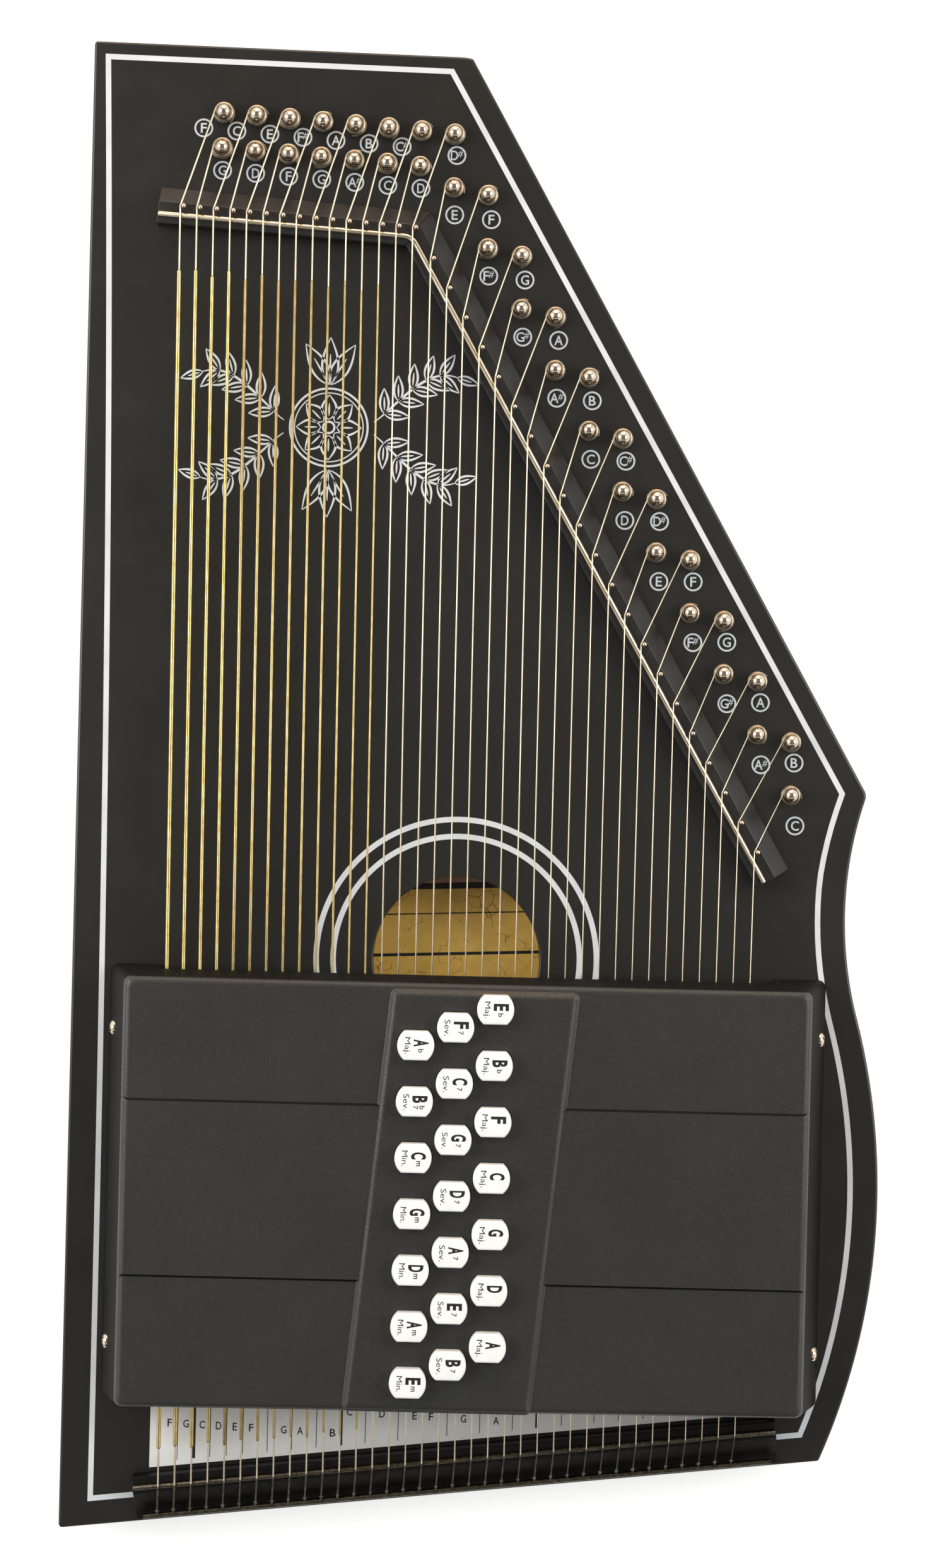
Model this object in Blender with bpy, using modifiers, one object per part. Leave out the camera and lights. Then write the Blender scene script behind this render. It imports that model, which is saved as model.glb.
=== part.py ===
"""Autoharp with thirty-six strings and twenty-one chord bars, at its real size.

It lies on its back. +Z goes up through the soundboard and +Y runs towards the tuning pins.
The long straight bass side is at -X. The origin is at the middle of the bottom of its
bounding box. Heights of the fittings are measured from the top of the soundboard.
"""

import math

import bmesh
import bpy
from mathutils import Matrix, Vector

MM = 0.001
GAP = 0.3 * MM                      # between pieces that touch on the real one

# Strings: their number and spacing set the width of the instrument
STRING_COUNT = 36
HEAD_STRINGS = 15                   # strings that cross the short bridge at the head
TAIL_PITCH = 6.374 * MM             # along the tail bridge
HEAD_PITCH = 6.42 * MM              # along the head bridge
TREBLE_PITCH = 13.03 * MM           # along the slanting treble bridge
WOUND_STRINGS = 13                  # bass strings with a wrap of bronze wire
WRAP_THICK = 1.7 * MM               # diameter of the thickest wound string
WRAP_THIN = 0.8 * MM                # diameter of the thinnest wound string
CORE_WIRE = 0.6 * MM                # core of the wound strings
PLAIN_THICK = 0.56 * MM             # first plain string
PLAIN_THIN = 0.4 * MM               # highest plain string
WRAP_FROM_HEAD = 21.0 * MM          # bare length between the head bridge and the wrap
WRAP_FROM_TAIL = 15.0 * MM          # bare length between the tail bridge and the wrap
WRAP_SHOULDER = 0.4 * MM            # length of the step at each end of the wrap
BASS_INSET = 39.4 * MM              # bass side to the first string, at the tail bridge
TREBLE_INSET = 54.3 * MM            # last string, at the tail bridge, to the belly

# Body outline
BODY_LENGTH = 578.1 * MM            # along the bass side
HEAD_WIDTH = 147.1 * MM
HEAD_SLOPE = math.radians(1.1)      # fall of the head edge towards the treble side
DIAGONAL_ANGLE = math.radians(29.55)  # long slanting edge, from the Y axis
TAIL_SLOPE = math.radians(6.42)     # rise of the tail edge towards the treble side
WAIST_DEPTH = 15.3 * MM             # waist, inside the widest part of the belly
WAIST_FROM_TAIL = 246.0 * MM
BELLY_FROM_TAIL = 134.8 * MM
BELLY_RADIUS = 262.5 * MM
BASS_CORNER_RADIUS = 1.5 * MM
HEAD_CORNER_RADIUS = 5.0 * MM
SHOULDER_RADIUS = 4.5 * MM          # corner between the slanting edge and the waist
TAIL_CORNER_RADIUS = 1.5 * MM

# Body pieces
BACK_THICKNESS = 3.2 * MM
FRAME_HEIGHT = 26.0 * MM
SOUNDBOARD_THICKNESS = 3.2 * MM
EDGE_ROUNDING = 1.0 * MM
RAIL_WIDTH = 18.0 * MM
TAIL_BLOCK_WIDTH = 38.0 * MM
PIN_BLOCK_HEAD_WIDTH = 84.0 * MM
PIN_BLOCK_SLANT_WIDTH = 64.0 * MM
PIN_BLOCK_BELOW_SHOULDER = 20.4 * MM  # end of the pin block at the waist
SOUND_HOLE_RADIUS = 32.3 * MM
SOUND_HOLE_SIDES = 36
SOUND_HOLE_FROM_TAIL = 224.6 * MM
SOUND_HOLE_FROM_BASS = 149.3 * MM
BRACE_WIDTH = 10.0 * MM
BRACE_HEIGHT = 12.0 * MM
BRACE_FROM_HOLE = 10.0 * MM         # edge of the sound hole to the brace

# Bridges and saddle rods
SADDLE_FROM_HEAD = 72.4 * MM        # bend of the saddle line, from the head edge
SADDLE_FROM_SLANT = 54.4 * MM       # bend of the saddle line, from the slanting edge
HEAD_SADDLE_TILT = math.radians(3.9)
TREBLE_SADDLE_ANGLE = math.radians(30.0)
HEAD_SADDLE_END = -1.4 * MM         # from the bend to the guide pin nearest it
TREBLE_SADDLE_START = 11.6 * MM     # from the bend to the guide pin nearest it
SADDLE_OVERHANG = 9.8 * MM          # rod beyond the outermost string
TREBLE_OVERHANG = 11.5 * MM
TAIL_OVERHANG = 15.8 * MM           # tail rod beyond the last string
BAR_OVERHANG = 0.3 * MM             # bridge beyond the end of its rod
ROD_RADIUS = 1.1 * MM
ROD_TOP = 10.6 * MM
SEAT_TOP = 9.0 * MM                 # flat top of a bridge, with the groove for its rod
RIDGE_OFFSET = 4.9 * MM             # where the flat top ends, from the rod's axis
BRIDGE_BACK = 11.3 * MM             # foot of the sloping back face
BACK_HEIGHT = 2.6 * MM              # lower edge of the sloping back face
BRIDGE_FRONT = 3.4 * MM
BRIDGE_CHAMFER = 0.4 * MM
GUIDE_OFFSET = 3.5 * MM             # guide pins, from the rod's axis
GUIDE_RADIUS = 1.0 * MM
GUIDE_TOP = 12.6 * MM
GUIDE_DEPTH = 2.4 * MM              # guide pins in the bridge
GUIDE_SIDES = 6
TAIL_SADDLE_FROM_EDGE = 14.9 * MM
TAIL_BRIDGE_FRONT = 4.0 * MM
TAIL_STRIP = 2.4 * MM               # flat strip behind the tail rod, from the rod's axis
TAIL_SLOPE_END = 10.6 * MM          # foot of the sloping tail face, from the rod's axis
ANCHOR_FROM_EDGE = 2.4 * MM
ANCHOR_SHORT = 2.3 * MM             # anchor rod short of the ends of the tail rod
FLANGE_THICKNESS = 1.5 * MM         # thin tail part that carries the anchor rod

# Tuning pins
PIN_RADIUS = 3.0 * MM
PIN_TOP = 8.5 * MM
PIN_LENGTH = 33.5 * MM
PIN_DOME = 1.4 * MM
DOME_TOP_SHARE = 0.55               # flat top of the dome, of the pin's width
COIL_HEIGHT = 5.6 * MM              # where the string leaves its pin
FAR_PIN = (14.0 * MM, 37.9 * MM)    # outer row, from the string's guide pin
NEAR_PIN = (7.3 * MM, 24.6 * MM)    # inner row, from the string's guide pin
SLANT_FIRST_PIN = (6.93 * MM, 28.8 * MM)
SLANT_PAIR_PITCH = 26.93 * MM
SLANT_PIN_ANGLE = math.radians(30.4)
SLANT_PAIR_OFFSET = (13.3 * MM, -2.6 * MM)
PIN_SIDES = 8

# Chord bars
BAR_COUNT = 21
BAR_PITCH = 7.05 * MM
BAR_WIDTH = 6.35 * MM
BAR_HEIGHT = 12.7 * MM
FELT_THICKNESS = 4.5 * MM
FELT_INSET = 0.4 * MM
TRAVEL = 3.0 * MM                   # how far a chord bar goes down
TONGUE_WIDTH = 4.0 * MM
TONGUE_LENGTH = 6.5 * MM
TONGUE_INSET = 0.8 * MM             # tongue below the top and above the bottom of its bar
STRING_SIDE_ROOM = 1.2 * MM         # outermost string to the bar holder
TREBLE_SIDE_ROOM = 10.0 * MM
SPRING_ROOM = 9.0 * MM              # height of a return spring at rest
HOLDER_WIDTH = 10.0 * MM
HOLDER_END = 2.5 * MM               # wall beyond the last slot
HOLDER_RECESS = 3.0 * MM            # top of the holder below the top of the bars

# Cover over the chord bars
COVER_WALL = 2.5 * MM
COVER_HEAD_ROOM = 2.9 * MM          # above the bars
COVER_SIDE_ROOM = 1.3 * MM          # holder to the edge of the cover's top
COVER_END_ROOM = 6.0 * MM           # last bar to the edge of the cover's top
COVER_SIDE_LEAN = 9.3 * MM          # foot beyond the top, at the sides
COVER_END_LEAN = 2.7 * MM           # foot beyond the top, at head and tail
COVER_ROUNDING = 2.2 * MM
COVER_TAIL_ROOM = 4.5 * MM          # foot to the tail bridge
COVER_FOOT_WIDTH = 19.0 * MM        # parts of the end walls that reach the soundboard
STRING_HEAD_ROOM = 2.0 * MM         # strings to the end walls above them
ZONE_HEIGHT = 0.9 * MM              # raised middle zone
ZONE_BARS = 9.6                     # length of the middle zone, in bar pitches
PANEL_HEIGHT = 1.7 * MM             # raised panel round the buttons
PANEL_LEFT = 100.5 * MM             # panel's edge at the head end, from the cover's left
PANEL_WIDTH = 71.6 * MM
PANEL_SLANT = 15.1 * MM             # how far the panel leans towards the bass side
RELIEF_INSET = 2.6 * MM             # raised areas stop short of the cover's edge
RIB_WIDTH = 4.0 * MM                # ribs inside that hold the bars down

# Buttons
BUTTON_RADIUS = 7.0 * MM
BUTTON_FLAT = 11.0 * MM             # across its flats
BUTTON_HEIGHT = 5.4 * MM            # above the panel
BUTTON_COLUMNS = 3
COLUMN_PITCH = 14.85 * MM
COLUMN_FROM_PANEL = 39.6 * MM       # right-hand column, from the panel's left edge
BUTTON_CLEARANCE = 0.4 * MM
BUTTON_ROUNDING = 0.6 * MM
STEM_LENGTH = 10.0 * MM
STEM_WIDTH = 5.4 * MM

# Scale card under the strings at the tail
CARD_THICKNESS = 0.5 * MM
CARD_LEFT_OF_STRING = 4.2 * MM
CARD_FROM_BARS = 4.5 * MM
CARD_FROM_BRIDGE = 1.7 * MM

# Worked out from the sizes above
BOARD_BOTTOM = BACK_THICKNESS + GAP + FRAME_HEIGHT + GAP
BOARD_TOP = BOARD_BOTTOM + SOUNDBOARD_THICKNESS
TAIL_SPAN = (STRING_COUNT - 1) * TAIL_PITCH * math.cos(TAIL_SLOPE)
BODY_WIDTH = BASS_INSET + TAIL_SPAN + TREBLE_INSET
BASS_X = -BODY_WIDTH / 2
BELLY_X = BODY_WIDTH / 2
HEAD_Y = BODY_LENGTH / 2
TAIL_Y = -BODY_LENGTH / 2
STRING_Z = ROD_TOP + GAP + CORE_WIRE / 2
STRING_TOP = STRING_Z + WRAP_THICK / 2
FELT_BOTTOM = STRING_TOP + GAP + TRAVEL
BAR_BOTTOM = FELT_BOTTOM + FELT_THICKNESS
BAR_TOP = BAR_BOTTOM + BAR_HEIGHT
COVER_TOP = BAR_TOP + COVER_HEAD_ROOM + COVER_WALL
RIB_BOTTOM = BAR_TOP - TONGUE_INSET + GAP
PANEL_TOP = COVER_TOP + PANEL_HEIGHT
BUTTON_TOP = PANEL_TOP + BUTTON_HEIGHT

FLAT_ANGLE = math.radians(0.05)      # faces within this of each other are one flat face
SMOOTH_ANGLE = math.radians(35)
OVERLAP = 1.0 * MM                  # of shapes that are joined, and of cutters past a face
CORNER_STEPS = 3                    # straight pieces that round a corner
SIDE_STEPS = 16                     # straight pieces along the curved side
ROD_SIDES = 10
SEARCH_STEPS = 40                   # halvings or repeats when two lines are made to meet

model = None
cutters = None


def start_scene():
    """Empty the scene and make the two collections."""
    global model, cutters
    for old in list(bpy.data.objects):
        bpy.data.objects.remove(old, do_unlink=True)
    model = bpy.data.collections.new("autoharp")
    cutters = bpy.data.collections.new("cutters")
    bpy.context.scene.collection.children.link(model)
    bpy.context.scene.collection.children.link(cutters)


def finish(name, colour, roughness, metallic=0.0):
    """A Principled material of one colour."""
    material = bpy.data.materials.new(name)
    material.use_nodes = True
    shader = material.node_tree.nodes["Principled BSDF"]
    shader.inputs["Base Color"].default_value = (*colour, 1.0)
    shader.inputs["Roughness"].default_value = roughness
    shader.inputs["Metallic"].default_value = metallic
    material.diffuse_color = (*colour, 1.0)
    return material


def make_finishes():
    """The finishes of the real pieces."""
    return {
        "lacquer": finish("black_lacquer", (0.012, 0.012, 0.012), 0.35),
        "maple": finish("maple", (0.55, 0.36, 0.18), 0.6),
        "spruce": finish("spruce", (0.62, 0.44, 0.24), 0.6),
        "plastic": finish("black_plastic", (0.02, 0.02, 0.02), 0.45),
        "cover": finish("textured_black_plastic", (0.03, 0.03, 0.028), 0.6),
        "steel": finish("nickel_plated_steel", (0.62, 0.6, 0.56), 0.25, 1.0),
        "bar": finish("black_bar", (0.025, 0.025, 0.025), 0.4),
        "cap": finish("ivory_plastic", (0.86, 0.84, 0.8), 0.35),
        "card": finish("white_card", (0.72, 0.72, 0.7), 0.8),
    }


# Geometry in the plan


def along(point, angle, distance):
    """A point at a distance from another, at an angle from the X axis."""
    return (point[0] + distance * math.cos(angle), point[1] + distance * math.sin(angle))


def shifted(line, distance):
    """A line, as point and angle, moved to its left."""
    point, angle = line
    return along(point, angle + math.pi / 2, distance), angle


def meeting(first, second):
    """Where two lines, each a point and an angle, cross."""
    (ax, ay), a = first
    (bx, by), b = second
    reach = ((bx - ax) * math.sin(b) - (by - ay) * math.cos(b)) / math.sin(b - a)
    return along(first[0], a, reach)


def at_height(line, y):
    """Where a line crosses a height in the plan."""
    return meeting(line, ((0.0, y), 0.0))


def rounded(before, corner, after, radius):
    """The arc that rounds a corner."""
    corner = Vector(corner)
    one = (Vector(before) - corner).normalized()
    two = (Vector(after) - corner).normalized()
    half = one.angle(two) / 2
    centre = corner + (one + two).normalized() * (radius / math.sin(half))
    start = corner + one * (radius / math.tan(half)) - centre
    end = corner + two * (radius / math.tan(half)) - centre
    turn = start.angle_signed(end)
    points = []
    for step in range(CORNER_STEPS + 1):
        spoke = Matrix.Rotation(-turn * step / CORNER_STEPS, 2) @ start
        points.append(tuple(centre + spoke))
    return points


# Edges of the body, each a point and an angle, with the inside on the left
HEAD_LEFT = (BASS_X, HEAD_Y)
HEAD_RIGHT = along(HEAD_LEFT, -HEAD_SLOPE, HEAD_WIDTH)
TAIL_LEFT = (BASS_X, TAIL_Y)
HEAD_EDGE = (HEAD_RIGHT, math.pi - HEAD_SLOPE)
BASS_EDGE = (HEAD_LEFT, -math.pi / 2)
TAIL_EDGE = (TAIL_LEFT, TAIL_SLOPE)
SLANT_EDGE = (HEAD_RIGHT, math.pi / 2 + DIAGONAL_ANGLE)

# The waist and the belly are two arcs that flow into each other
WAIST_Y = TAIL_Y + WAIST_FROM_TAIL
BELLY_Y = TAIL_Y + BELLY_FROM_TAIL
RISE = WAIST_Y - BELLY_Y
CENTRE_DISTANCE = (WAIST_DEPTH ** 2 + RISE ** 2) / (2 * WAIST_DEPTH)
WAIST_RADIUS = CENTRE_DISTANCE - BELLY_RADIUS
BELLY_CENTRE = (BELLY_X - BELLY_RADIUS, BELLY_Y)
WAIST_CENTRE = (BELLY_X - WAIST_DEPTH + WAIST_RADIUS, WAIST_Y)
SIDE_LEAN = math.atan2(RISE, WAIST_CENTRE[0] - BELLY_CENTRE[0])


def side_x(y, inset=0.0):
    """The curved treble side at a height in the plan, or a line inside it."""
    belly = BELLY_RADIUS - inset
    waist = WAIST_RADIUS + inset
    if y < BELLY_Y + belly * math.sin(SIDE_LEAN):
        return BELLY_CENTRE[0] + math.sqrt(belly ** 2 - (y - BELLY_Y) ** 2)
    return WAIST_CENTRE[0] - math.sqrt(waist ** 2 - (y - WAIST_Y) ** 2)


def side_curve(low, high, steps, inset=0.0):
    """Points up the treble side between two heights in the plan."""
    heights = [low + (high - low) * step / steps for step in range(steps + 1)]
    return [(side_x(y, inset), y) for y in heights]


def settle_on_side(line, y):
    """Where a line meets the treble side, found by a few steps from a first height."""
    for _ in range(SEARCH_STEPS):
        tangent = math.tan(line[1])
        y = line[0][1] + (side_x(y) - line[0][0]) * tangent
    return side_x(y), y


def slant_meets_waist():
    """The sharp corner that the shoulder's rounding is cut from."""
    low, high = WAIST_Y, WAIST_Y + WAIST_RADIUS / 2
    for _ in range(SEARCH_STEPS):
        middle = (low + high) / 2
        if at_height(SLANT_EDGE, middle)[0] > side_x(middle):
            low = middle
        else:
            high = middle
    return side_x(low), low


SHOULDER = slant_meets_waist()
TAIL_RIGHT = settle_on_side(TAIL_EDGE, TAIL_Y)
BELOW_SHOULDER = (side_x(SHOULDER[1] - SHOULDER_RADIUS), SHOULDER[1] - SHOULDER_RADIUS)
ABOVE_TAIL_RIGHT = (side_x(TAIL_RIGHT[1] + 2 * TAIL_CORNER_RADIUS),
                    TAIL_RIGHT[1] + 2 * TAIL_CORNER_RADIUS)


def head_left_corner():
    return rounded(HEAD_RIGHT, HEAD_LEFT, TAIL_LEFT, BASS_CORNER_RADIUS)


def tail_left_corner():
    return rounded(HEAD_LEFT, TAIL_LEFT, TAIL_RIGHT, BASS_CORNER_RADIUS)


def tail_right_corner():
    return rounded(TAIL_LEFT, TAIL_RIGHT, ABOVE_TAIL_RIGHT, TAIL_CORNER_RADIUS)


def shoulder_corner():
    return rounded(BELOW_SHOULDER, SHOULDER, HEAD_RIGHT, SHOULDER_RADIUS)


def head_right_corner():
    return rounded(SHOULDER, HEAD_RIGHT, HEAD_LEFT, HEAD_CORNER_RADIUS)


def body_outline():
    """The whole outline, anticlockwise from the head's bass corner."""
    low = tail_right_corner()[-1][1] + TAIL_CORNER_RADIUS
    high = shoulder_corner()[0][1] - TAIL_CORNER_RADIUS
    return (head_left_corner() + tail_left_corner() + tail_right_corner()
            + side_curve(low, high, SIDE_STEPS) + shoulder_corner() + head_right_corner())


# The saddle line: a short run at the head, a bend, then the long slanting run
BEND = meeting(shifted(HEAD_EDGE, SADDLE_FROM_HEAD), shifted(SLANT_EDGE, SADDLE_FROM_SLANT))
HEAD_RUN = math.pi - HEAD_SADDLE_TILT
SLANT_RUN = -math.pi / 2 + TREBLE_SADDLE_ANGLE
HEAD_RUN_LENGTH = HEAD_SADDLE_END + (HEAD_STRINGS - 1) * HEAD_PITCH + SADDLE_OVERHANG
SLANT_STRINGS = STRING_COUNT - HEAD_STRINGS
SLANT_RUN_LENGTH = TREBLE_SADDLE_START + (SLANT_STRINGS - 1) * TREBLE_PITCH + TREBLE_OVERHANG
TAIL_SADDLE = shifted(TAIL_EDGE, TAIL_SADDLE_FROM_EDGE)
ANCHOR_LINE = shifted(TAIL_EDGE, ANCHOR_FROM_EDGE)
FIRST_AT_TAIL = meeting(TAIL_SADDLE, ((BASS_X + BASS_INSET, 0.0), math.pi / 2))
TAIL_RUN_START = along(FIRST_AT_TAIL, TAIL_SLOPE, -SADDLE_OVERHANG)
TAIL_RUN_LENGTH = SADDLE_OVERHANG + (STRING_COUNT - 1) * TAIL_PITCH + TAIL_OVERHANG


def guide_place(number):
    """The guide pin of a string, which bends it round its treble side."""
    if number < HEAD_STRINGS:
        reach = HEAD_SADDLE_END + (HEAD_STRINGS - 1 - number) * HEAD_PITCH
        return along(along(BEND, HEAD_RUN, reach), HEAD_RUN - math.pi / 2, GUIDE_OFFSET)
    reach = TREBLE_SADDLE_START + (number - HEAD_STRINGS) * TREBLE_PITCH
    return along(along(BEND, SLANT_RUN, reach), SLANT_RUN + math.pi / 2, GUIDE_OFFSET)


def pin_place(number):
    """The tuning pin of a string."""
    guide = guide_place(number)
    if number < HEAD_STRINGS:
        offset = FAR_PIN if number % 2 == 0 else NEAR_PIN
        return guide[0] + offset[0], guide[1] + offset[1]
    first = guide_place(HEAD_STRINGS)
    first = (first[0] + SLANT_FIRST_PIN[0], first[1] + SLANT_FIRST_PIN[1])
    pair, second = divmod(number - HEAD_STRINGS, 2)
    place = along(first, -math.pi / 2 + SLANT_PIN_ANGLE, pair * SLANT_PAIR_PITCH)
    return place[0] + second * SLANT_PAIR_OFFSET[0], place[1] + second * SLANT_PAIR_OFFSET[1]


def core_radius(number):
    """Radius of a string's wire, without its wrap."""
    if number < WOUND_STRINGS:
        return CORE_WIRE / 2
    share = (number - WOUND_STRINGS) / (STRING_COUNT - 1 - WOUND_STRINGS)
    return (PLAIN_THICK + (PLAIN_THIN - PLAIN_THICK) * share) / 2


def wrap_radius(number):
    """Radius of a wound string over its wrap."""
    share = number / (WOUND_STRINGS - 1)
    return (WRAP_THICK + (WRAP_THIN - WRAP_THICK) * share) / 2


def string_guide_point(number):
    """Where a string passes its guide pin."""
    guide = guide_place(number)
    return guide[0] - GUIDE_RADIUS - GAP - core_radius(number), guide[1]


def string_tail_point(number):
    """Where a string crosses the tail saddle."""
    return along(FIRST_AT_TAIL, TAIL_SLOPE, number * TAIL_PITCH)


def string_x(number, y):
    """A string's place across the instrument at a height in the plan."""
    head = string_guide_point(number)
    tail = string_tail_point(number)
    return tail[0] + (head[0] - tail[0]) * (y - tail[1]) / (head[1] - tail[1])


# The bar holders stand beside the outermost strings, and the cover stands round them
TAIL_BRIDGE_FOOT = along(shifted(TAIL_SADDLE, TAIL_BRIDGE_FRONT)[0], TAIL_SLOPE,
                         TAIL_RUN_LENGTH + BASS_INSET)
COVER_TAIL = TAIL_BRIDGE_FOOT[1] + COVER_TAIL_ROOM + COVER_END_LEAN
LAST_BAR_Y = COVER_TAIL + COVER_END_ROOM + BAR_WIDTH / 2
FIRST_BAR_Y = LAST_BAR_Y + (BAR_COUNT - 1) * BAR_PITCH
COVER_HEAD = FIRST_BAR_Y + BAR_WIDTH / 2 + COVER_END_ROOM
MIDDLE_BAR_Y = (FIRST_BAR_Y + LAST_BAR_Y) / 2
BASS_STRING_EDGE = min(string_x(0, COVER_HEAD), string_x(0, COVER_TAIL)) - WRAP_THICK / 2
TREBLE_STRING_EDGE = max(string_x(STRING_COUNT - 1, COVER_HEAD),
                         string_x(STRING_COUNT - 1, COVER_TAIL))
HOLDER_LEFT = BASS_STRING_EDGE - STRING_SIDE_ROOM
HOLDER_RIGHT = TREBLE_STRING_EDGE + TREBLE_SIDE_ROOM
COVER_LEFT = HOLDER_LEFT - HOLDER_WIDTH - COVER_SIDE_ROOM
COVER_RIGHT = HOLDER_RIGHT + HOLDER_WIDTH + COVER_SIDE_ROOM
HOLDER_TOP = BAR_TOP - HOLDER_RECESS
SLOT_FLOOR = BAR_BOTTOM + TONGUE_INSET - SPRING_ROOM


def bar_y(number):
    return FIRST_BAR_Y - number * BAR_PITCH


def button_x(number):
    """Buttons stand in slanting rows of three, from right to left."""
    column = number % BUTTON_COLUMNS
    return COVER_LEFT + PANEL_LEFT + COLUMN_FROM_PANEL - column * COLUMN_PITCH


# Building


def add_object(name, mesh, material, collection=None):
    """Put a mesh into the scene as a named piece."""
    piece = bpy.data.objects.new(name, mesh)
    if material:
        mesh.materials.clear()
        mesh.materials.append(material)
    (collection or model).objects.link(piece)
    return piece


def mesh_from(name, source):
    """The evaluated shape of an object as a plain welded mesh, with its place in it."""
    from_curve = source.type == "CURVE"
    bpy.context.view_layer.update()
    depsgraph = bpy.context.evaluated_depsgraph_get()
    mesh = bpy.data.meshes.new_from_object(source.evaluated_get(depsgraph))
    mesh.name = name
    mesh.transform(source.matrix_world)
    shape = bmesh.new()
    shape.from_mesh(mesh)
    bmesh.ops.remove_doubles(shape, verts=shape.verts, dist=0.001 * MM)
    if from_curve:
        bmesh.ops.dissolve_limit(shape, angle_limit=FLAT_ANGLE, verts=shape.verts,
                                 edges=shape.edges)
    shape.to_mesh(mesh)
    shape.free()
    bpy.data.objects.remove(source, do_unlink=True)
    return mesh


def flat_curve(name, outline, depth):
    """A filled flat outline, extruded up and down from its own plane."""
    curve = bpy.data.curves.new(name, "CURVE")
    curve.dimensions = "2D"
    curve.fill_mode = "BOTH"
    curve.extrude = depth / 2
    spline = curve.splines.new("POLY")
    spline.points.add(len(outline) - 1)
    for point, (x, y) in zip(spline.points, outline):
        point.co = (x, y, 0.0, 1.0)
    spline.use_cyclic_u = True
    piece = bpy.data.objects.new(name, curve)
    model.objects.link(piece)
    return piece


def plate_mesh(name, outline, bottom, top):
    """A flat plate between two heights."""
    source = flat_curve(name, outline, top - bottom)
    source.location.z = (bottom + top) / 2
    return mesh_from(name, source)


def plate(name, outline, bottom, top, material, collection=None):
    return add_object(name, plate_mesh(name, outline, bottom, top), material, collection)


def rectangle(left, right, low, high):
    return [(left, low), (right, low), (right, high), (left, high)]


def as_cutter(piece):
    """Keep a cutting or joining shape out of the finished model."""
    piece.hide_render = True
    piece.display_type = "WIRE"
    return piece


def combine(piece, other, operation):
    """Cut one piece with another, or join them."""
    modifier = piece.modifiers.new(operation.lower(), "BOOLEAN")
    modifier.operation = operation
    modifier.solver = "EXACT"
    modifier.object = other
    return modifier


def cylinders(name, places, radius, bottom, top, sides, collection):
    """Upright round pegs in one mesh."""
    shape = bmesh.new()
    for x, y in places:
        middle = Matrix.Translation((x, y, (bottom + top) / 2))
        turned = middle @ Matrix.Rotation(math.pi / sides, 4, "Z")
        bmesh.ops.create_cone(shape, cap_ends=True, segments=sides, radius1=radius,
                              radius2=radius, depth=top - bottom, matrix=turned)
    mesh = bpy.data.meshes.new(name)
    shape.to_mesh(mesh)
    shape.free()
    return add_object(name, mesh, None, collection)


def boxes(name, corners, collection):
    """Plain boxes in one mesh, each given by its lowest and highest corner."""
    shape = bmesh.new()
    for low, high in corners:
        size = [b - a for a, b in zip(low, high)]
        middle = [(a + b) / 2 for a, b in zip(low, high)]
        place = Matrix.Translation(middle) @ Matrix.Diagonal((*size, 1.0))
        bmesh.ops.create_cube(shape, size=1.0, matrix=place)
    mesh = bpy.data.meshes.new(name)
    shape.to_mesh(mesh)
    shape.free()
    return add_object(name, mesh, None, collection)


def chamfer_rim(mesh, height, width):
    """Chamfer the edges that lie at one height of a plate's rim."""
    shape = bmesh.new()
    shape.from_mesh(mesh)
    rim = [edge for edge in shape.edges
           if all(abs(v.co.z - height) < GAP / 10 for v in edge.verts)
           and edge.calc_face_angle(0.0) > 1.0]
    bmesh.ops.bevel(shape, geom=rim, offset=width, segments=1, profile=0.5, affect="EDGES")
    shape.to_mesh(mesh)
    shape.free()


# Body


def build_soundboard(finishes):
    """Plywood top with the sound hole and a hole for each tuning pin."""
    mesh = plate_mesh("soundboard", body_outline(), BOARD_BOTTOM, BOARD_TOP)
    chamfer_rim(mesh, BOARD_TOP, EDGE_ROUNDING)
    board = add_object("soundboard", mesh, finishes["lacquer"])
    hole = cylinders("sound_hole_cutter", [sound_hole()], SOUND_HOLE_RADIUS,
                     BOARD_BOTTOM - RAIL_WIDTH, BOARD_TOP + RAIL_WIDTH, SOUND_HOLE_SIDES,
                     cutters)
    places = [pin_place(number) for number in range(STRING_COUNT)]
    pins = cylinders("pin_hole_cutter", places, PIN_RADIUS + GAP,
                     BOARD_BOTTOM - RAIL_WIDTH, BOARD_TOP + RAIL_WIDTH, PIN_SIDES, cutters)
    combine(board, as_cutter(hole), "DIFFERENCE")
    combine(board, as_cutter(pins), "DIFFERENCE")


def sound_hole():
    return BASS_X + SOUND_HOLE_FROM_BASS, TAIL_Y + SOUND_HOLE_FROM_TAIL


def build_back(finishes):
    mesh = plate_mesh("back_panel", body_outline(), 0.0, BACK_THICKNESS)
    chamfer_rim(mesh, 0.0, EDGE_ROUNDING)
    add_object("back_panel", mesh, finishes["lacquer"])


def frame_plate(name, outline, material):
    """A piece of the frame between the back and the soundboard."""
    bottom = BACK_THICKNESS + GAP
    return plate(name, outline, bottom, bottom + FRAME_HEIGHT, material)


def pin_block_outline():
    """Wide laminated block under the tuning pins and the head and treble bridges."""
    inner_head = shifted(HEAD_EDGE, PIN_BLOCK_HEAD_WIDTH)
    inner_slant = shifted(SLANT_EDGE, PIN_BLOCK_SLANT_WIDTH)
    foot = SHOULDER[1] - PIN_BLOCK_BELOW_SHOULDER
    side = side_curve(foot, shoulder_corner()[0][1] - SHOULDER_RADIUS / 2, CORNER_STEPS)
    return (head_left_corner() + [meeting(inner_head, BASS_EDGE),
            meeting(inner_head, inner_slant), at_height(inner_slant, foot)]
            + side + shoulder_corner() + head_right_corner())


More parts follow.
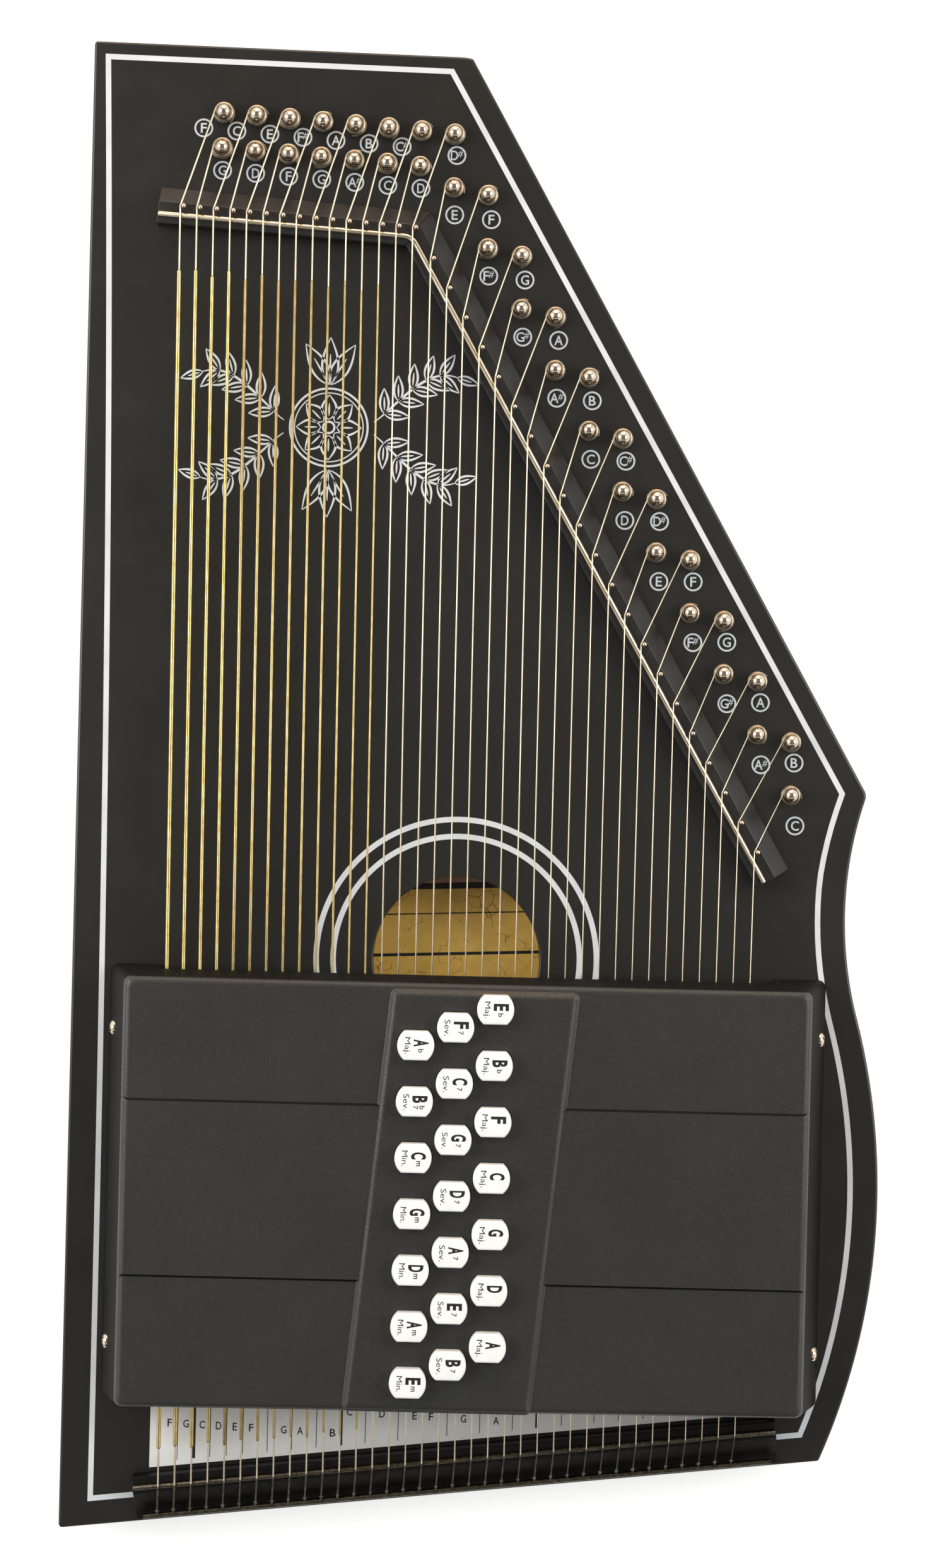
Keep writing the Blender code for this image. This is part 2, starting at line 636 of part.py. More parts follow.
def build_pin_block(finishes):
    block = frame_plate("pin_block", pin_block_outline(), finishes["maple"])
    places = [pin_place(number) for number in range(STRING_COUNT)]
    bottom = BOARD_TOP + PIN_TOP - PIN_LENGTH - GAP
    holes = cylinders("pin_block_cutter", places, PIN_RADIUS + GAP, bottom,
                      BOARD_TOP, PIN_SIDES, cutters)
    combine(block, as_cutter(holes), "DIFFERENCE")


def tail_block_line():
    return shifted(TAIL_EDGE, TAIL_BLOCK_WIDTH)


def build_tail_block(finishes):
    """Block under the tail bridge, which holds the pull of the strings."""
    inner = tail_block_line()
    right = settle_on_side(inner, TAIL_RIGHT[1] + TAIL_BLOCK_WIDTH)
    side = side_curve(tail_right_corner()[-1][1] + TAIL_CORNER_RADIUS, right[1], CORNER_STEPS)
    outline = tail_left_corner() + tail_right_corner() + side + [meeting(inner, BASS_EDGE)]
    frame_plate("tail_block", outline, finishes["maple"])


def build_rails(finishes):
    """The narrow sides between the two blocks."""
    head = meeting(shifted(HEAD_EDGE, PIN_BLOCK_HEAD_WIDTH + GAP), BASS_EDGE)
    tail = shifted(tail_block_line(), GAP)
    inner = shifted(BASS_EDGE, RAIL_WIDTH)
    head_inner = meeting(shifted(HEAD_EDGE, PIN_BLOCK_HEAD_WIDTH + GAP), inner)
    outline = [head, meeting(tail, BASS_EDGE), meeting(tail, inner), head_inner]
    frame_plate("bass_rail", outline, finishes["maple"])

    foot = SHOULDER[1] - PIN_BLOCK_BELOW_SHOULDER - GAP
    low = settle_on_side(tail, TAIL_RIGHT[1] + TAIL_BLOCK_WIDTH)
    inner_low = tail[0][1] + (low[0] - RAIL_WIDTH - tail[0][0]) * math.tan(tail[1])
    outer = side_curve(low[1], foot, SIDE_STEPS)
    inside = side_curve(inner_low, foot, SIDE_STEPS, RAIL_WIDTH)
    inside[0] = (inside[0][0], tail[0][1] + (inside[0][0] - tail[0][0]) * math.tan(tail[1]))
    frame_plate("treble_rail", outer + inside[::-1], finishes["maple"])


def build_brace(finishes):
    """Bar under the soundboard, tailward of the sound hole."""
    head = sound_hole()[1] - SOUND_HOLE_RADIUS - BRACE_FROM_HOLE
    tail = head - BRACE_WIDTH
    left = BASS_X + RAIL_WIDTH + GAP
    right = min(side_x(head, RAIL_WIDTH), side_x(tail, RAIL_WIDTH)) - GAP
    top = BOARD_BOTTOM - GAP
    plate("soundboard_brace", rectangle(left, right, tail, head), top - BRACE_HEIGHT, top,
          finishes["spruce"])


# Bridges


def rod_seat():
    """The groove that a saddle rod lies in, as offset and height, from front to back."""
    axis = ROD_TOP - ROD_RADIUS
    radius = ROD_RADIUS + GAP
    reach = math.acos((axis - SEAT_TOP) / radius)
    angles = [-reach, -reach / 2, 0.0, reach / 2, reach]
    return [(radius * math.sin(a), axis - radius * math.cos(a)) for a in angles]


def bridge_profile():
    """Section of the head and treble bridges, as offset to the outside and height."""
    return ([(-BRIDGE_FRONT, GAP), (-BRIDGE_FRONT, SEAT_TOP - BRIDGE_CHAMFER),
             (-BRIDGE_FRONT + BRIDGE_CHAMFER, SEAT_TOP)] + rod_seat()
            + [(RIDGE_OFFSET, SEAT_TOP), (BRIDGE_BACK, BACK_HEIGHT), (BRIDGE_BACK, GAP)])


def tail_profile():
    """Section of the tail bridge, as offset towards the head and height."""
    tail = -TAIL_SADDLE_FROM_EDGE + EDGE_ROUNDING + GAP
    flange = GAP + FLANGE_THICKNESS
    return ([(tail, GAP), (tail, flange), (-TAIL_SLOPE_END, flange), (-TAIL_STRIP, SEAT_TOP)]
            + rod_seat() + [(TAIL_BRIDGE_FRONT - BRIDGE_CHAMFER, SEAT_TOP),
                            (TAIL_BRIDGE_FRONT, SEAT_TOP - BRIDGE_CHAMFER),
                            (TAIL_BRIDGE_FRONT, GAP)])


def extruded_bar(name, profile, start, angle, length, outward):
    """A bar of one section, laid on the soundboard from a point along an angle.

    The section's offsets point to the bar's outer side, at the angle `outward`."""
    source = flat_curve(name, profile, length)
    run = Vector((math.cos(angle), math.sin(angle), 0.0))
    across = Vector((math.cos(outward), math.sin(outward), 0.0))
    turn = Matrix((across, Vector((0.0, 0.0, 1.0)), across.cross(Vector((0, 0, 1))))).transposed()
    middle = Vector((*start, BOARD_TOP)) + run * (length / 2)
    source.matrix_world = Matrix.Translation(middle) @ turn.to_4x4()
    return mesh_from(name, source)


def mitre(mesh, point, away):
    """Cut a bar off square to the plan along a plane, and close the end."""
    shape = bmesh.new()
    shape.from_mesh(mesh)
    geometry = shape.verts[:] + shape.edges[:] + shape.faces[:]
    cut = bmesh.ops.bisect_plane(shape, geom=geometry, plane_co=(*point, 0.0),
                                 plane_no=(*away, 0.0), clear_outer=True)
    rim = [item for item in cut["geom_cut"] if isinstance(item, bmesh.types.BMEdge)]
    bmesh.ops.edgeloop_fill(shape, edges=rim)
    bmesh.ops.recalc_face_normals(shape, faces=shape.faces)
    shape.to_mesh(mesh)
    shape.free()


def rod_mesh(name, start, angle, length, radius, axis_height):
    """A round rod lying along an angle."""
    shape = bmesh.new()
    run = Vector((math.cos(angle), math.sin(angle), 0.0))
    middle = Vector((*start, BOARD_TOP + axis_height)) + run * (length / 2)
    turn = Matrix.Rotation(angle, 4, "Z") @ Matrix.Rotation(math.pi / 2, 4, "Y")
    bmesh.ops.create_cone(shape, cap_ends=True, segments=ROD_SIDES, radius1=radius,
                          radius2=radius, depth=length, matrix=Matrix.Translation(middle) @ turn)
    mesh = bpy.data.meshes.new(name)
    shape.to_mesh(mesh)
    shape.free()
    return mesh


def build_saddle_rods(finishes):
    """Steel rods that the strings bear on. The treble rod stops just short of the bend."""
    turn = HEAD_RUN - math.pi - SLANT_RUN
    short = (ROD_RADIUS * (1.0 - math.cos(turn)) + 2 * GAP) / math.sin(turn)
    axis = ROD_TOP - ROD_RADIUS
    head = rod_mesh("head_saddle_rod", BEND, HEAD_RUN, HEAD_RUN_LENGTH, ROD_RADIUS, axis)
    slant = rod_mesh("treble_saddle_rod", along(BEND, SLANT_RUN, short), SLANT_RUN,
                     SLANT_RUN_LENGTH - short, ROD_RADIUS, axis)
    tail = rod_mesh("tail_saddle_rod", TAIL_RUN_START, TAIL_SLOPE, TAIL_RUN_LENGTH,
                    ROD_RADIUS, axis)
    add_object("head_saddle_rod", head, finishes["steel"])
    add_object("treble_saddle_rod", slant, finishes["steel"])
    add_object("tail_saddle_rod", tail, finishes["steel"])


def build_bridges(finishes):
    """Moulded bridges with their guide pins. Head and treble bridge meet in a mitre."""
    split = (HEAD_RUN + SLANT_RUN + math.pi * 2) / 2
    seam = Vector((math.cos(split), math.sin(split)))
    across = Vector((-seam.y, seam.x))
    towards_head = across if across.x < 0 else -across
    guides = [guide_place(number) for number in range(STRING_COUNT)]
    low, high = BOARD_TOP + SEAT_TOP - GUIDE_DEPTH, BOARD_TOP + GUIDE_TOP

    reach = BRIDGE_BACK * 2
    mesh = extruded_bar("head_bridge", bridge_profile(), along(BEND, HEAD_RUN, -reach),
                        HEAD_RUN, HEAD_RUN_LENGTH + reach + BAR_OVERHANG, HEAD_RUN - math.pi / 2)
    mitre(mesh, Vector(BEND) + towards_head * GAP, -towards_head)
    head = add_object("head_bridge", mesh, finishes["plastic"])
    pins = cylinders("head_guide_pins", guides[:HEAD_STRINGS], GUIDE_RADIUS, low, high,
                     GUIDE_SIDES, cutters)
    combine(head, as_cutter(pins), "UNION")

    mesh = extruded_bar("treble_bridge", bridge_profile(), along(BEND, SLANT_RUN, -reach),
                        SLANT_RUN, SLANT_RUN_LENGTH + reach + BAR_OVERHANG,
                        SLANT_RUN + math.pi / 2)
    mitre(mesh, Vector(BEND) - towards_head * GAP, towards_head)
    slant = add_object("treble_bridge", mesh, finishes["plastic"])
    room = cylinders("seam_pin_room", guides[HEAD_STRINGS - 1:HEAD_STRINGS],
                     GUIDE_RADIUS + GAP, BOARD_TOP, high, GUIDE_SIDES, cutters)
    combine(slant, as_cutter(room), "DIFFERENCE")
    pins = cylinders("treble_guide_pins", guides[HEAD_STRINGS:], GUIDE_RADIUS, low, high,
                     GUIDE_SIDES, cutters)
    combine(slant, as_cutter(pins), "UNION")

    start = along(TAIL_RUN_START, TAIL_SLOPE, -BAR_OVERHANG)
    mesh = extruded_bar("tail_bridge", tail_profile(), start, TAIL_SLOPE,
                        TAIL_RUN_LENGTH + 2 * BAR_OVERHANG, TAIL_SLOPE + math.pi / 2)
    add_object("tail_bridge", mesh, finishes["plastic"])


# Strings and tuning pins


def string_points(number):
    """A string's route from its tuning pin to the anchor rod, with its radius there."""
    core = core_radius(number)
    pin = pin_place(number)
    guide = string_guide_point(number)
    tail = string_tail_point(number)
    anchor = along(tail, TAIL_SLOPE - math.pi / 2, TAIL_SADDLE_FROM_EDGE - ANCHOR_FROM_EDGE)
    anchor_z = GAP + FLANGE_THICKNESS + GAP + ROD_RADIUS
    route = [(pin[0] - PIN_RADIUS + 2 * core, pin[1], COIL_HEIGHT, core),
             (*guide, STRING_Z, core)]
    if number < WOUND_STRINGS:
        wrap = wrap_radius(number)
        high = guide[1] - GUIDE_OFFSET - WRAP_FROM_HEAD
        low = tail[1] + WRAP_FROM_TAIL
        for y, radius in ((high, core), (high - WRAP_SHOULDER, wrap),
                          (low + WRAP_SHOULDER, wrap), (low, core)):
            route.append((string_x(number, y), y, STRING_Z, radius))
    route.append((*tail, STRING_Z, core))
    route.append((*anchor, anchor_z, core))
    return route


def strings_mesh():
    """All the strings as one curve with a spline each, made a mesh."""
    curve = bpy.data.curves.new("strings", "CURVE")
    curve.dimensions = "3D"
    curve.bevel_depth = MM
    curve.bevel_resolution = 1
    curve.use_fill_caps = True
    curve.twist_mode = "Z_UP"
    for number in range(STRING_COUNT):
        route = string_points(number)
        spline = curve.splines.new("POLY")
        spline.points.add(len(route) - 1)
        for point, (x, y, z, radius) in zip(spline.points, route):
            point.co = (x, y, BOARD_TOP + z, 1.0)
            point.radius = radius / MM
    source = bpy.data.objects.new("strings", curve)
    model.objects.link(source)
    return mesh_from("strings", source)


def pins_mesh():
    """The tuning pins, each with a low dome."""
    shape = bmesh.new()
    body_top = PIN_TOP - PIN_DOME
    for number in range(STRING_COUNT):
        x, y = pin_place(number)
        low = BOARD_TOP + PIN_TOP - PIN_LENGTH
        turn = Matrix.Rotation(math.pi / PIN_SIDES, 4, "Z")
        middle = Matrix.Translation((x, y, (low + BOARD_TOP + body_top) / 2))
        bmesh.ops.create_cone(shape, cap_ends=True, segments=PIN_SIDES, radius1=PIN_RADIUS,
                              radius2=PIN_RADIUS, depth=BOARD_TOP + body_top - low,
                              matrix=middle @ turn)
    for face in [f for f in shape.faces if f.normal.z > 0.9]:
        raised = bmesh.ops.extrude_face_region(shape, geom=[face])["geom"]
        ring = [item for item in raised if isinstance(item, bmesh.types.BMVert)]
        centre = face.calc_center_median()
        shape.faces.remove(face)
        for vert in ring:
            vert.co = centre + (vert.co - centre) * DOME_TOP_SHARE + Vector((0, 0, PIN_DOME))
    mesh = bpy.data.meshes.new("tuning_pins")
    shape.to_mesh(mesh)
    shape.free()
    return mesh


def build_strings(finishes):
    """Strings, tuning pins and anchor rod: one steel piece, as every string joins them."""
    anchor_z = GAP + FLANGE_THICKNESS + GAP + ROD_RADIUS
    start = along(along(TAIL_RUN_START, TAIL_SLOPE, ANCHOR_SHORT), TAIL_SLOPE - math.pi / 2,
                  TAIL_SADDLE_FROM_EDGE - ANCHOR_FROM_EDGE)
    anchor = rod_mesh("strings_and_tuning_pins", start, TAIL_SLOPE,
                      TAIL_RUN_LENGTH - 2 * ANCHOR_SHORT, ROD_RADIUS, anchor_z)
    piece = add_object("strings_and_tuning_pins", anchor, finishes["steel"])
    wires = as_cutter(add_object("string_wires", strings_mesh(), None, cutters))
    pins = as_cutter(add_object("tuning_pins", pins_mesh(), None, cutters))
    combine(piece, wires, "UNION")
    combine(piece, pins, "UNION")


# Chord bars


def build_bars(finishes):
    """Chord bars with a tongue at each end and felt below. They share one mesh."""
    left, right = HOLDER_LEFT + GAP, HOLDER_RIGHT - GAP
    bottom, top = BOARD_TOP + BAR_BOTTOM, BOARD_TOP + BAR_TOP
    half, narrow, soft = BAR_WIDTH / 2, TONGUE_WIDTH / 2, BAR_WIDTH / 2 - FELT_INSET
    bar = boxes("chord_bar", [((left, -half, bottom), (right, half, top))], cutters)
    tongues = boxes("bar_tongues", [((left - TONGUE_LENGTH, -narrow, bottom + TONGUE_INSET),
                                     (right + TONGUE_LENGTH, narrow, top - TONGUE_INSET))],
                    cutters)
    felt = boxes("felt", [((left + GAP, -soft, BOARD_TOP + FELT_BOTTOM),
                           (right - GAP, soft, bottom + TONGUE_INSET / 2))], cutters)
    combine(bar, as_cutter(tongues), "UNION")
    combine(bar, as_cutter(felt), "UNION")
    mesh = mesh_from("chord_bar", bar)
    mesh.materials.clear()
    mesh.materials.append(finishes["bar"])
    for number in range(BAR_COUNT):
        piece = add_object(f"chord_bar_{number + 1:02d}", mesh, None)
        piece.location.y = bar_y(number)


def button_outline(margin=0.0):
    """A disc with two flats, about its own centre."""
    radius = BUTTON_RADIUS + margin
    reach = math.asin((BUTTON_FLAT / 2 + margin) / radius)
    right = [(radius * math.cos(a), radius * math.sin(a))
             for a in (-reach, -reach / 2, 0.0, reach / 2, reach)]
    return right + [(-x, -y) for x, y in right]


def build_buttons(finishes):
    """Button caps on narrow stems. They share one mesh."""
    cap_bottom = BAR_TOP + TRAVEL + 2 * GAP
    mesh = plate_mesh("button_cap", button_outline(), BOARD_TOP + cap_bottom,
                      BOARD_TOP + BUTTON_TOP)
    chamfer_rim(mesh, BOARD_TOP + BUTTON_TOP, BUTTON_ROUNDING)
    cap = add_object("button", mesh, None, cutters)
    low = (-STEM_LENGTH / 2, -STEM_WIDTH / 2, BOARD_TOP + BAR_TOP + GAP)
    high = (STEM_LENGTH / 2, STEM_WIDTH / 2, BOARD_TOP + cap_bottom + OVERLAP)
    stem = boxes("button_stem", [(low, high)], cutters)
    combine(cap, as_cutter(stem), "UNION")
    mesh = mesh_from("button", cap)
    mesh.materials.clear()
    mesh.materials.append(finishes["cap"])
    for number in range(BAR_COUNT):
        piece = add_object(f"chord_button_{number + 1:02d}", mesh, None)
        piece.location = (button_x(number), bar_y(number), 0.0)


def build_holders(finishes):
    """Combs that guide the tongues of the bars, with a pocket for each spring."""
    slot = TONGUE_WIDTH / 2 + GAP
    low_y = LAST_BAR_Y - slot - HOLDER_END
    high_y = FIRST_BAR_Y + slot + HOLDER_END
    bottom, top = BOARD_TOP + GAP, BOARD_TOP + HOLDER_TOP
    deep = TONGUE_LENGTH
    for name, inner, side in (("bass_bar_holder", HOLDER_LEFT, -1),
                              ("treble_bar_holder", HOLDER_RIGHT, 1)):
        near, far = sorted((inner, inner + side * HOLDER_WIDTH))
        holder = plate(name, rectangle(near, far, low_y, high_y), bottom, top,
                       finishes["plastic"])
        left, right = sorted((inner - side * slot, inner + side * deep))
        pockets = [((left, bar_y(n) - slot, BOARD_TOP + SLOT_FLOOR),
                    (right, bar_y(n) + slot, top + slot)) for n in range(BAR_COUNT)]
        combine(holder, as_cutter(boxes(f"{name}_pockets", pockets, cutters)), "DIFFERENCE")


# Cover


def tapered_box(name, foot, top, bottom_z, top_z, collection):
    """A box whose foot and top are different rectangles (left, right, low, high)."""
    shape = bmesh.new()
    bmesh.ops.create_cube(shape, size=2.0)
    for vert in shape.verts:
        left, right, low, high = top if vert.co.z > 0 else foot
        vert.co = (right if vert.co.x > 0 else left, high if vert.co.y > 0 else low,
                   top_z if vert.co.z > 0 else bottom_z)
    mesh = bpy.data.meshes.new(name)
    shape.to_mesh(mesh)
    shape.free()
    return add_object(name, mesh, None, collection)


def cover_rectangle(height, inset):
    """The cover's outline at a height above the soundboard, or a line inside it."""
    spread = 1.0 - height / COVER_TOP
    side = COVER_SIDE_LEAN * spread - inset
    end = COVER_END_LEAN * spread - inset
    return (COVER_LEFT - side, COVER_RIGHT + side, COVER_TAIL - end, COVER_HEAD + end)


def panel_outline():
    """The slanting panel round the buttons."""
    head = COVER_HEAD - RELIEF_INSET
    tail = COVER_TAIL + RELIEF_INSET
    left = COVER_LEFT + PANEL_LEFT
    return [(left - PANEL_SLANT, tail), (left - PANEL_SLANT + PANEL_WIDTH, tail),
            (left + PANEL_WIDTH, head), (left, head)]


def build_cover(finishes):
    """Moulded cover with openings for the strings and a hole for each button."""
    cover = tapered_box("bar_cover", cover_rectangle(GAP, 0.0), cover_rectangle(COVER_TOP, 0.0),
                        BOARD_TOP + GAP, BOARD_TOP + COVER_TOP, model)
    cover.data.materials.append(finishes["cover"])
    rounding = cover.modifiers.new("rounding", "BEVEL")
    rounding.width = COVER_ROUNDING
    rounding.segments = 2
    rounding.limit_method = "ANGLE"
    inner_top = COVER_TOP - COVER_WALL
    hollow = tapered_box("cover_hollow", cover_rectangle(-COVER_ROUNDING, COVER_WALL),
                         cover_rectangle(inner_top, COVER_WALL), BOARD_TOP - COVER_ROUNDING,
                         BOARD_TOP + inner_top, cutters)
    combine(cover, as_cutter(hollow), "DIFFERENCE")

    middle = rectangle(COVER_LEFT + RELIEF_INSET, COVER_RIGHT - RELIEF_INSET,
                       MIDDLE_BAR_Y - ZONE_BARS * BAR_PITCH / 2,
                       MIDDLE_BAR_Y + ZONE_BARS * BAR_PITCH / 2)
    inside = BOARD_TOP + COVER_TOP - COVER_WALL / 2
    zone = plate("cover_zone", middle, inside, BOARD_TOP + COVER_TOP + ZONE_HEIGHT, None,
                 cutters)
    panel = plate("cover_panel", panel_outline(), inside, BOARD_TOP + PANEL_TOP, None, cutters)
    combine(cover, as_cutter(zone), "UNION")
    combine(cover, as_cutter(panel), "UNION")

    left = HOLDER_LEFT - TONGUE_LENGTH
    right = HOLDER_RIGHT + TONGUE_LENGTH
    ends = [(x, x + RIB_WIDTH) for x in (left, right - RIB_WIDTH)]
    ribs = boxes("cover_ribs", [((a, LAST_BAR_Y - BAR_WIDTH / 2, BOARD_TOP + RIB_BOTTOM),
                                 (b, FIRST_BAR_Y + BAR_WIDTH / 2, inside)) for a, b in ends],
                 cutters)
    combine(cover, as_cutter(ribs), "UNION")

    foot = cover_rectangle(0.0, 0.0)
    gap_left, gap_right = foot[0] + COVER_FOOT_WIDTH, foot[1] - COVER_FOOT_WIDTH
    reach = COVER_WALL + COVER_END_LEAN + OVERLAP
    high = BOARD_TOP + STRING_TOP + STRING_HEAD_ROOM
    doors = [((gap_left, foot[3] - reach, BOARD_TOP - OVERLAP), (gap_right, foot[3] + reach, high)),
             ((gap_left, foot[2] - reach, BOARD_TOP - OVERLAP), (gap_right, foot[2] + reach, high))]
    combine(cover, as_cutter(boxes("cover_doors", doors, cutters)), "DIFFERENCE")
    build_button_holes(cover)


def build_button_holes(cover):
    """One cutter with a hole for each button."""
    shape = bmesh.new()
    single = plate_mesh("button_hole", button_outline(BUTTON_CLEARANCE),
                        BOARD_TOP + BAR_TOP + GAP, BOARD_TOP + BUTTON_TOP)
    for number in range(BAR_COUNT):
        copy = single.copy()
        copy.transform(Matrix.Translation((button_x(number), bar_y(number), 0.0)))
        shape.from_mesh(copy)
        bpy.data.meshes.remove(copy)
    mesh = bpy.data.meshes.new("button_holes")
    shape.to_mesh(mesh)
    shape.free()
    bpy.data.meshes.remove(single)
    holes = as_cutter(add_object("button_holes", mesh, None, cutters))
    combine(cover, holes, "DIFFERENCE")


def build_card(finishes):
    """Card with the note scale, on the soundboard under the strings."""
    left = string_x(0, COVER_TAIL) - CARD_LEFT_OF_STRING
    right = cover_rectangle(0.0, 0.0)[1] - COVER_FOOT_WIDTH - GAP
    edge = shifted(TAIL_SADDLE, TAIL_BRIDGE_FRONT + CARD_FROM_BRIDGE)
    head = LAST_BAR_Y - CARD_FROM_BARS - BAR_WIDTH / 2
    tail_left = meeting(edge, ((left, 0.0), math.pi / 2))
    tail_right = meeting(edge, ((right, 0.0), math.pi / 2))
    outline = [tail_left, tail_right, (right, head), (left, head)]
    plate("scale_card", outline, BOARD_TOP + GAP, BOARD_TOP + GAP + CARD_THICKNESS,
          finishes["card"])


def smooth_round_pieces():
    for piece in model.objects:
        if piece.type == "MESH":
            piece.data.shade_smooth()
            piece.data.set_sharp_from_angle(angle=SMOOTH_ANGLE)


def build_autoharp():
    start_scene()
    finishes = make_finishes()
    build_back(finishes)
    build_pin_block(finishes)
    build_tail_block(finishes)
    build_rails(finishes)
    build_brace(finishes)
    build_soundboard(finishes)
    build_card(finishes)
    build_bridges(finishes)
    build_saddle_rods(finishes)
    build_strings(finishes)
    build_holders(finishes)
    build_bars(finishes)
    build_buttons(finishes)
    build_cover(finishes)
    smooth_round_pieces()


build_autoharp()
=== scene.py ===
"""Looks of the autoharp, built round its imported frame.

It lies on its back. +Z goes up through the soundboard and +Y runs towards the tuning pins.
The long straight bass side is at -X. Heights of the fittings are measured from the top of the
soundboard.
"""

import math

import bmesh
import bpy
from mathutils import Matrix, Vector


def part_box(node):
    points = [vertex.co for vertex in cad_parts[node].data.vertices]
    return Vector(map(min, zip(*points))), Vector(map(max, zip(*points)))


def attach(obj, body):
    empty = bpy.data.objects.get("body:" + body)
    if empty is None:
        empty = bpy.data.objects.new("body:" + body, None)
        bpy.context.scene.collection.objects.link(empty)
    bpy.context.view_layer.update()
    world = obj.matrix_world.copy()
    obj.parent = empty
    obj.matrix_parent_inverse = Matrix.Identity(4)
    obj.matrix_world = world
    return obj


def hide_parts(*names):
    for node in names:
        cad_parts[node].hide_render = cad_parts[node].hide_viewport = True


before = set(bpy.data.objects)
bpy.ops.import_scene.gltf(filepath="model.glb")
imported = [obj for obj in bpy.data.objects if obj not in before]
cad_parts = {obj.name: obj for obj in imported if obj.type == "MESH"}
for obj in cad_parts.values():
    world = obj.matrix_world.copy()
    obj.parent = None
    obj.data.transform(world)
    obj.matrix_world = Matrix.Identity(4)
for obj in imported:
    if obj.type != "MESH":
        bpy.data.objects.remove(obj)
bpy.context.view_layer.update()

MM = 0.001


def mm(*sizes):
    """Sizes in millimetres, as a tuple in metres."""
    return tuple(size * MM for size in sizes)


BODY = "body"
EPS = 0.02 * MM                     # thickness of printed ink and of painted lines

# Sizes that the part's source has too
STRING_COUNT = 36
HEAD_STRINGS = 15                   # strings that cross the short bridge at the head
WOUND_STRINGS = 13
TAIL_PITCH = 6.374 * MM
HEAD_PITCH = 6.42 * MM
TREBLE_PITCH = 13.03 * MM
CORE_WIRE = 0.6 * MM
GAP = 0.3 * MM
BODY_LENGTH = 578.1 * MM
BASS_INSET = 39.4 * MM
TREBLE_INSET = 54.3 * MM
HEAD_WIDTH = 147.1 * MM
HEAD_SLOPE = math.radians(1.1)
DIAGONAL_ANGLE = math.radians(29.55)
TAIL_SLOPE = math.radians(6.42)
WAIST_DEPTH = 15.3 * MM
WAIST_FROM_TAIL = 246.0 * MM
BELLY_FROM_TAIL = 134.8 * MM
BELLY_RADIUS = 262.5 * MM
CORNER_RADIUS = 1.5 * MM
SHOULDER_RADIUS = 4.5 * MM
BACK_THICKNESS = 3.2 * MM
BOARD_BOTTOM = 29.8 * MM
BOARD_TOP = 33.0 * MM
RAIL_WIDTH = 18.0 * MM
TAIL_BLOCK_WIDTH = 38.0 * MM
PIN_BLOCK_HEAD_WIDTH = 84.0 * MM
PIN_BLOCK_SLANT_WIDTH = 64.0 * MM
PIN_BLOCK_BELOW_SHOULDER = 20.4 * MM
SOUND_HOLE_RADIUS = 32.3 * MM
SADDLE_FROM_HEAD = 72.4 * MM
SADDLE_FROM_SLANT = 54.4 * MM
HEAD_SADDLE_TILT = math.radians(3.9)
TREBLE_SADDLE_ANGLE = math.radians(30.0)
HEAD_SADDLE_END = -1.4 * MM
TREBLE_SADDLE_START = 11.6 * MM
SADDLE_OVERHANG = 9.8 * MM
TREBLE_OVERHANG = 11.5 * MM
TAIL_OVERHANG = 15.8 * MM
BAR_OVERHANG = 0.3 * MM
ROD_RADIUS = 1.1 * MM
ROD_TOP = 10.6 * MM
SEAT_TOP = 9.0 * MM
RIDGE_OFFSET = 4.9 * MM
BRIDGE_BACK = 11.3 * MM
BACK_HEIGHT = 2.6 * MM
BRIDGE_FRONT = 3.4 * MM
GUIDE_OFFSET = 3.5 * MM
GUIDE_RADIUS = 1.0 * MM
GUIDE_TOP = 12.6 * MM
TAIL_SADDLE_FROM_EDGE = 14.9 * MM
TAIL_BRIDGE_FRONT = 4.0 * MM
TAIL_STRIP = 2.4 * MM
TAIL_SLOPE_END = 10.6 * MM
ANCHOR_FROM_EDGE = 2.4 * MM
ANCHOR_SHORT = 2.3 * MM
FLANGE_THICKNESS = 1.5 * MM
PIN_RADIUS = 3.0 * MM
PIN_TOP = 8.5 * MM
COIL_HEIGHT = 5.6 * MM
FAR_PIN = mm(14.0, 37.9)
NEAR_PIN = mm(7.3, 24.6)
SLANT_FIRST_PIN = mm(6.93, 28.8)
SLANT_PAIR_PITCH = 26.93 * MM
SLANT_PIN_ANGLE = math.radians(30.4)
SLANT_PAIR_OFFSET = mm(13.3, -2.6)
BAR_COUNT = 21
BAR_HALF = 3.175 * MM               # half of a quarter inch
BAR_BOTTOM = 19.85 * MM
BAR_TOP = 32.55 * MM
COVER_TOP = 37.95 * MM
COVER_WALL = 2.5 * MM
END_LEAN = 2.7 * MM
SIDE_LEAN_OUT = 9.3 * MM
PANEL_LEFT = 100.5 * MM
PANEL_WIDTH = 71.6 * MM
PANEL_SLANT = 15.1 * MM

# Places that follow from them. These heights are from the floor
TAIL_SPAN = (STRING_COUNT - 1) * TAIL_PITCH * math.cos(TAIL_SLOPE)
BODY_WIDTH = BASS_INSET + TAIL_SPAN + TREBLE_INSET
BASS_X = -BODY_WIDTH / 2
BELLY_X = BODY_WIDTH / 2
HEAD_Y = BODY_LENGTH / 2
TAIL_Y = -BODY_LENGTH / 2
STRING_Z = BOARD_TOP + ROD_TOP + GAP + CORE_WIRE / 2
ANCHOR_Z = BOARD_TOP + 2 * GAP + FLANGE_THICKNESS + ROD_RADIUS
ANCHOR_BACK = TAIL_SADDLE_FROM_EDGE - ANCHOR_FROM_EDGE
SOUND_HOLE = (BASS_X + 149.3 * MM, TAIL_Y + 224.6 * MM)

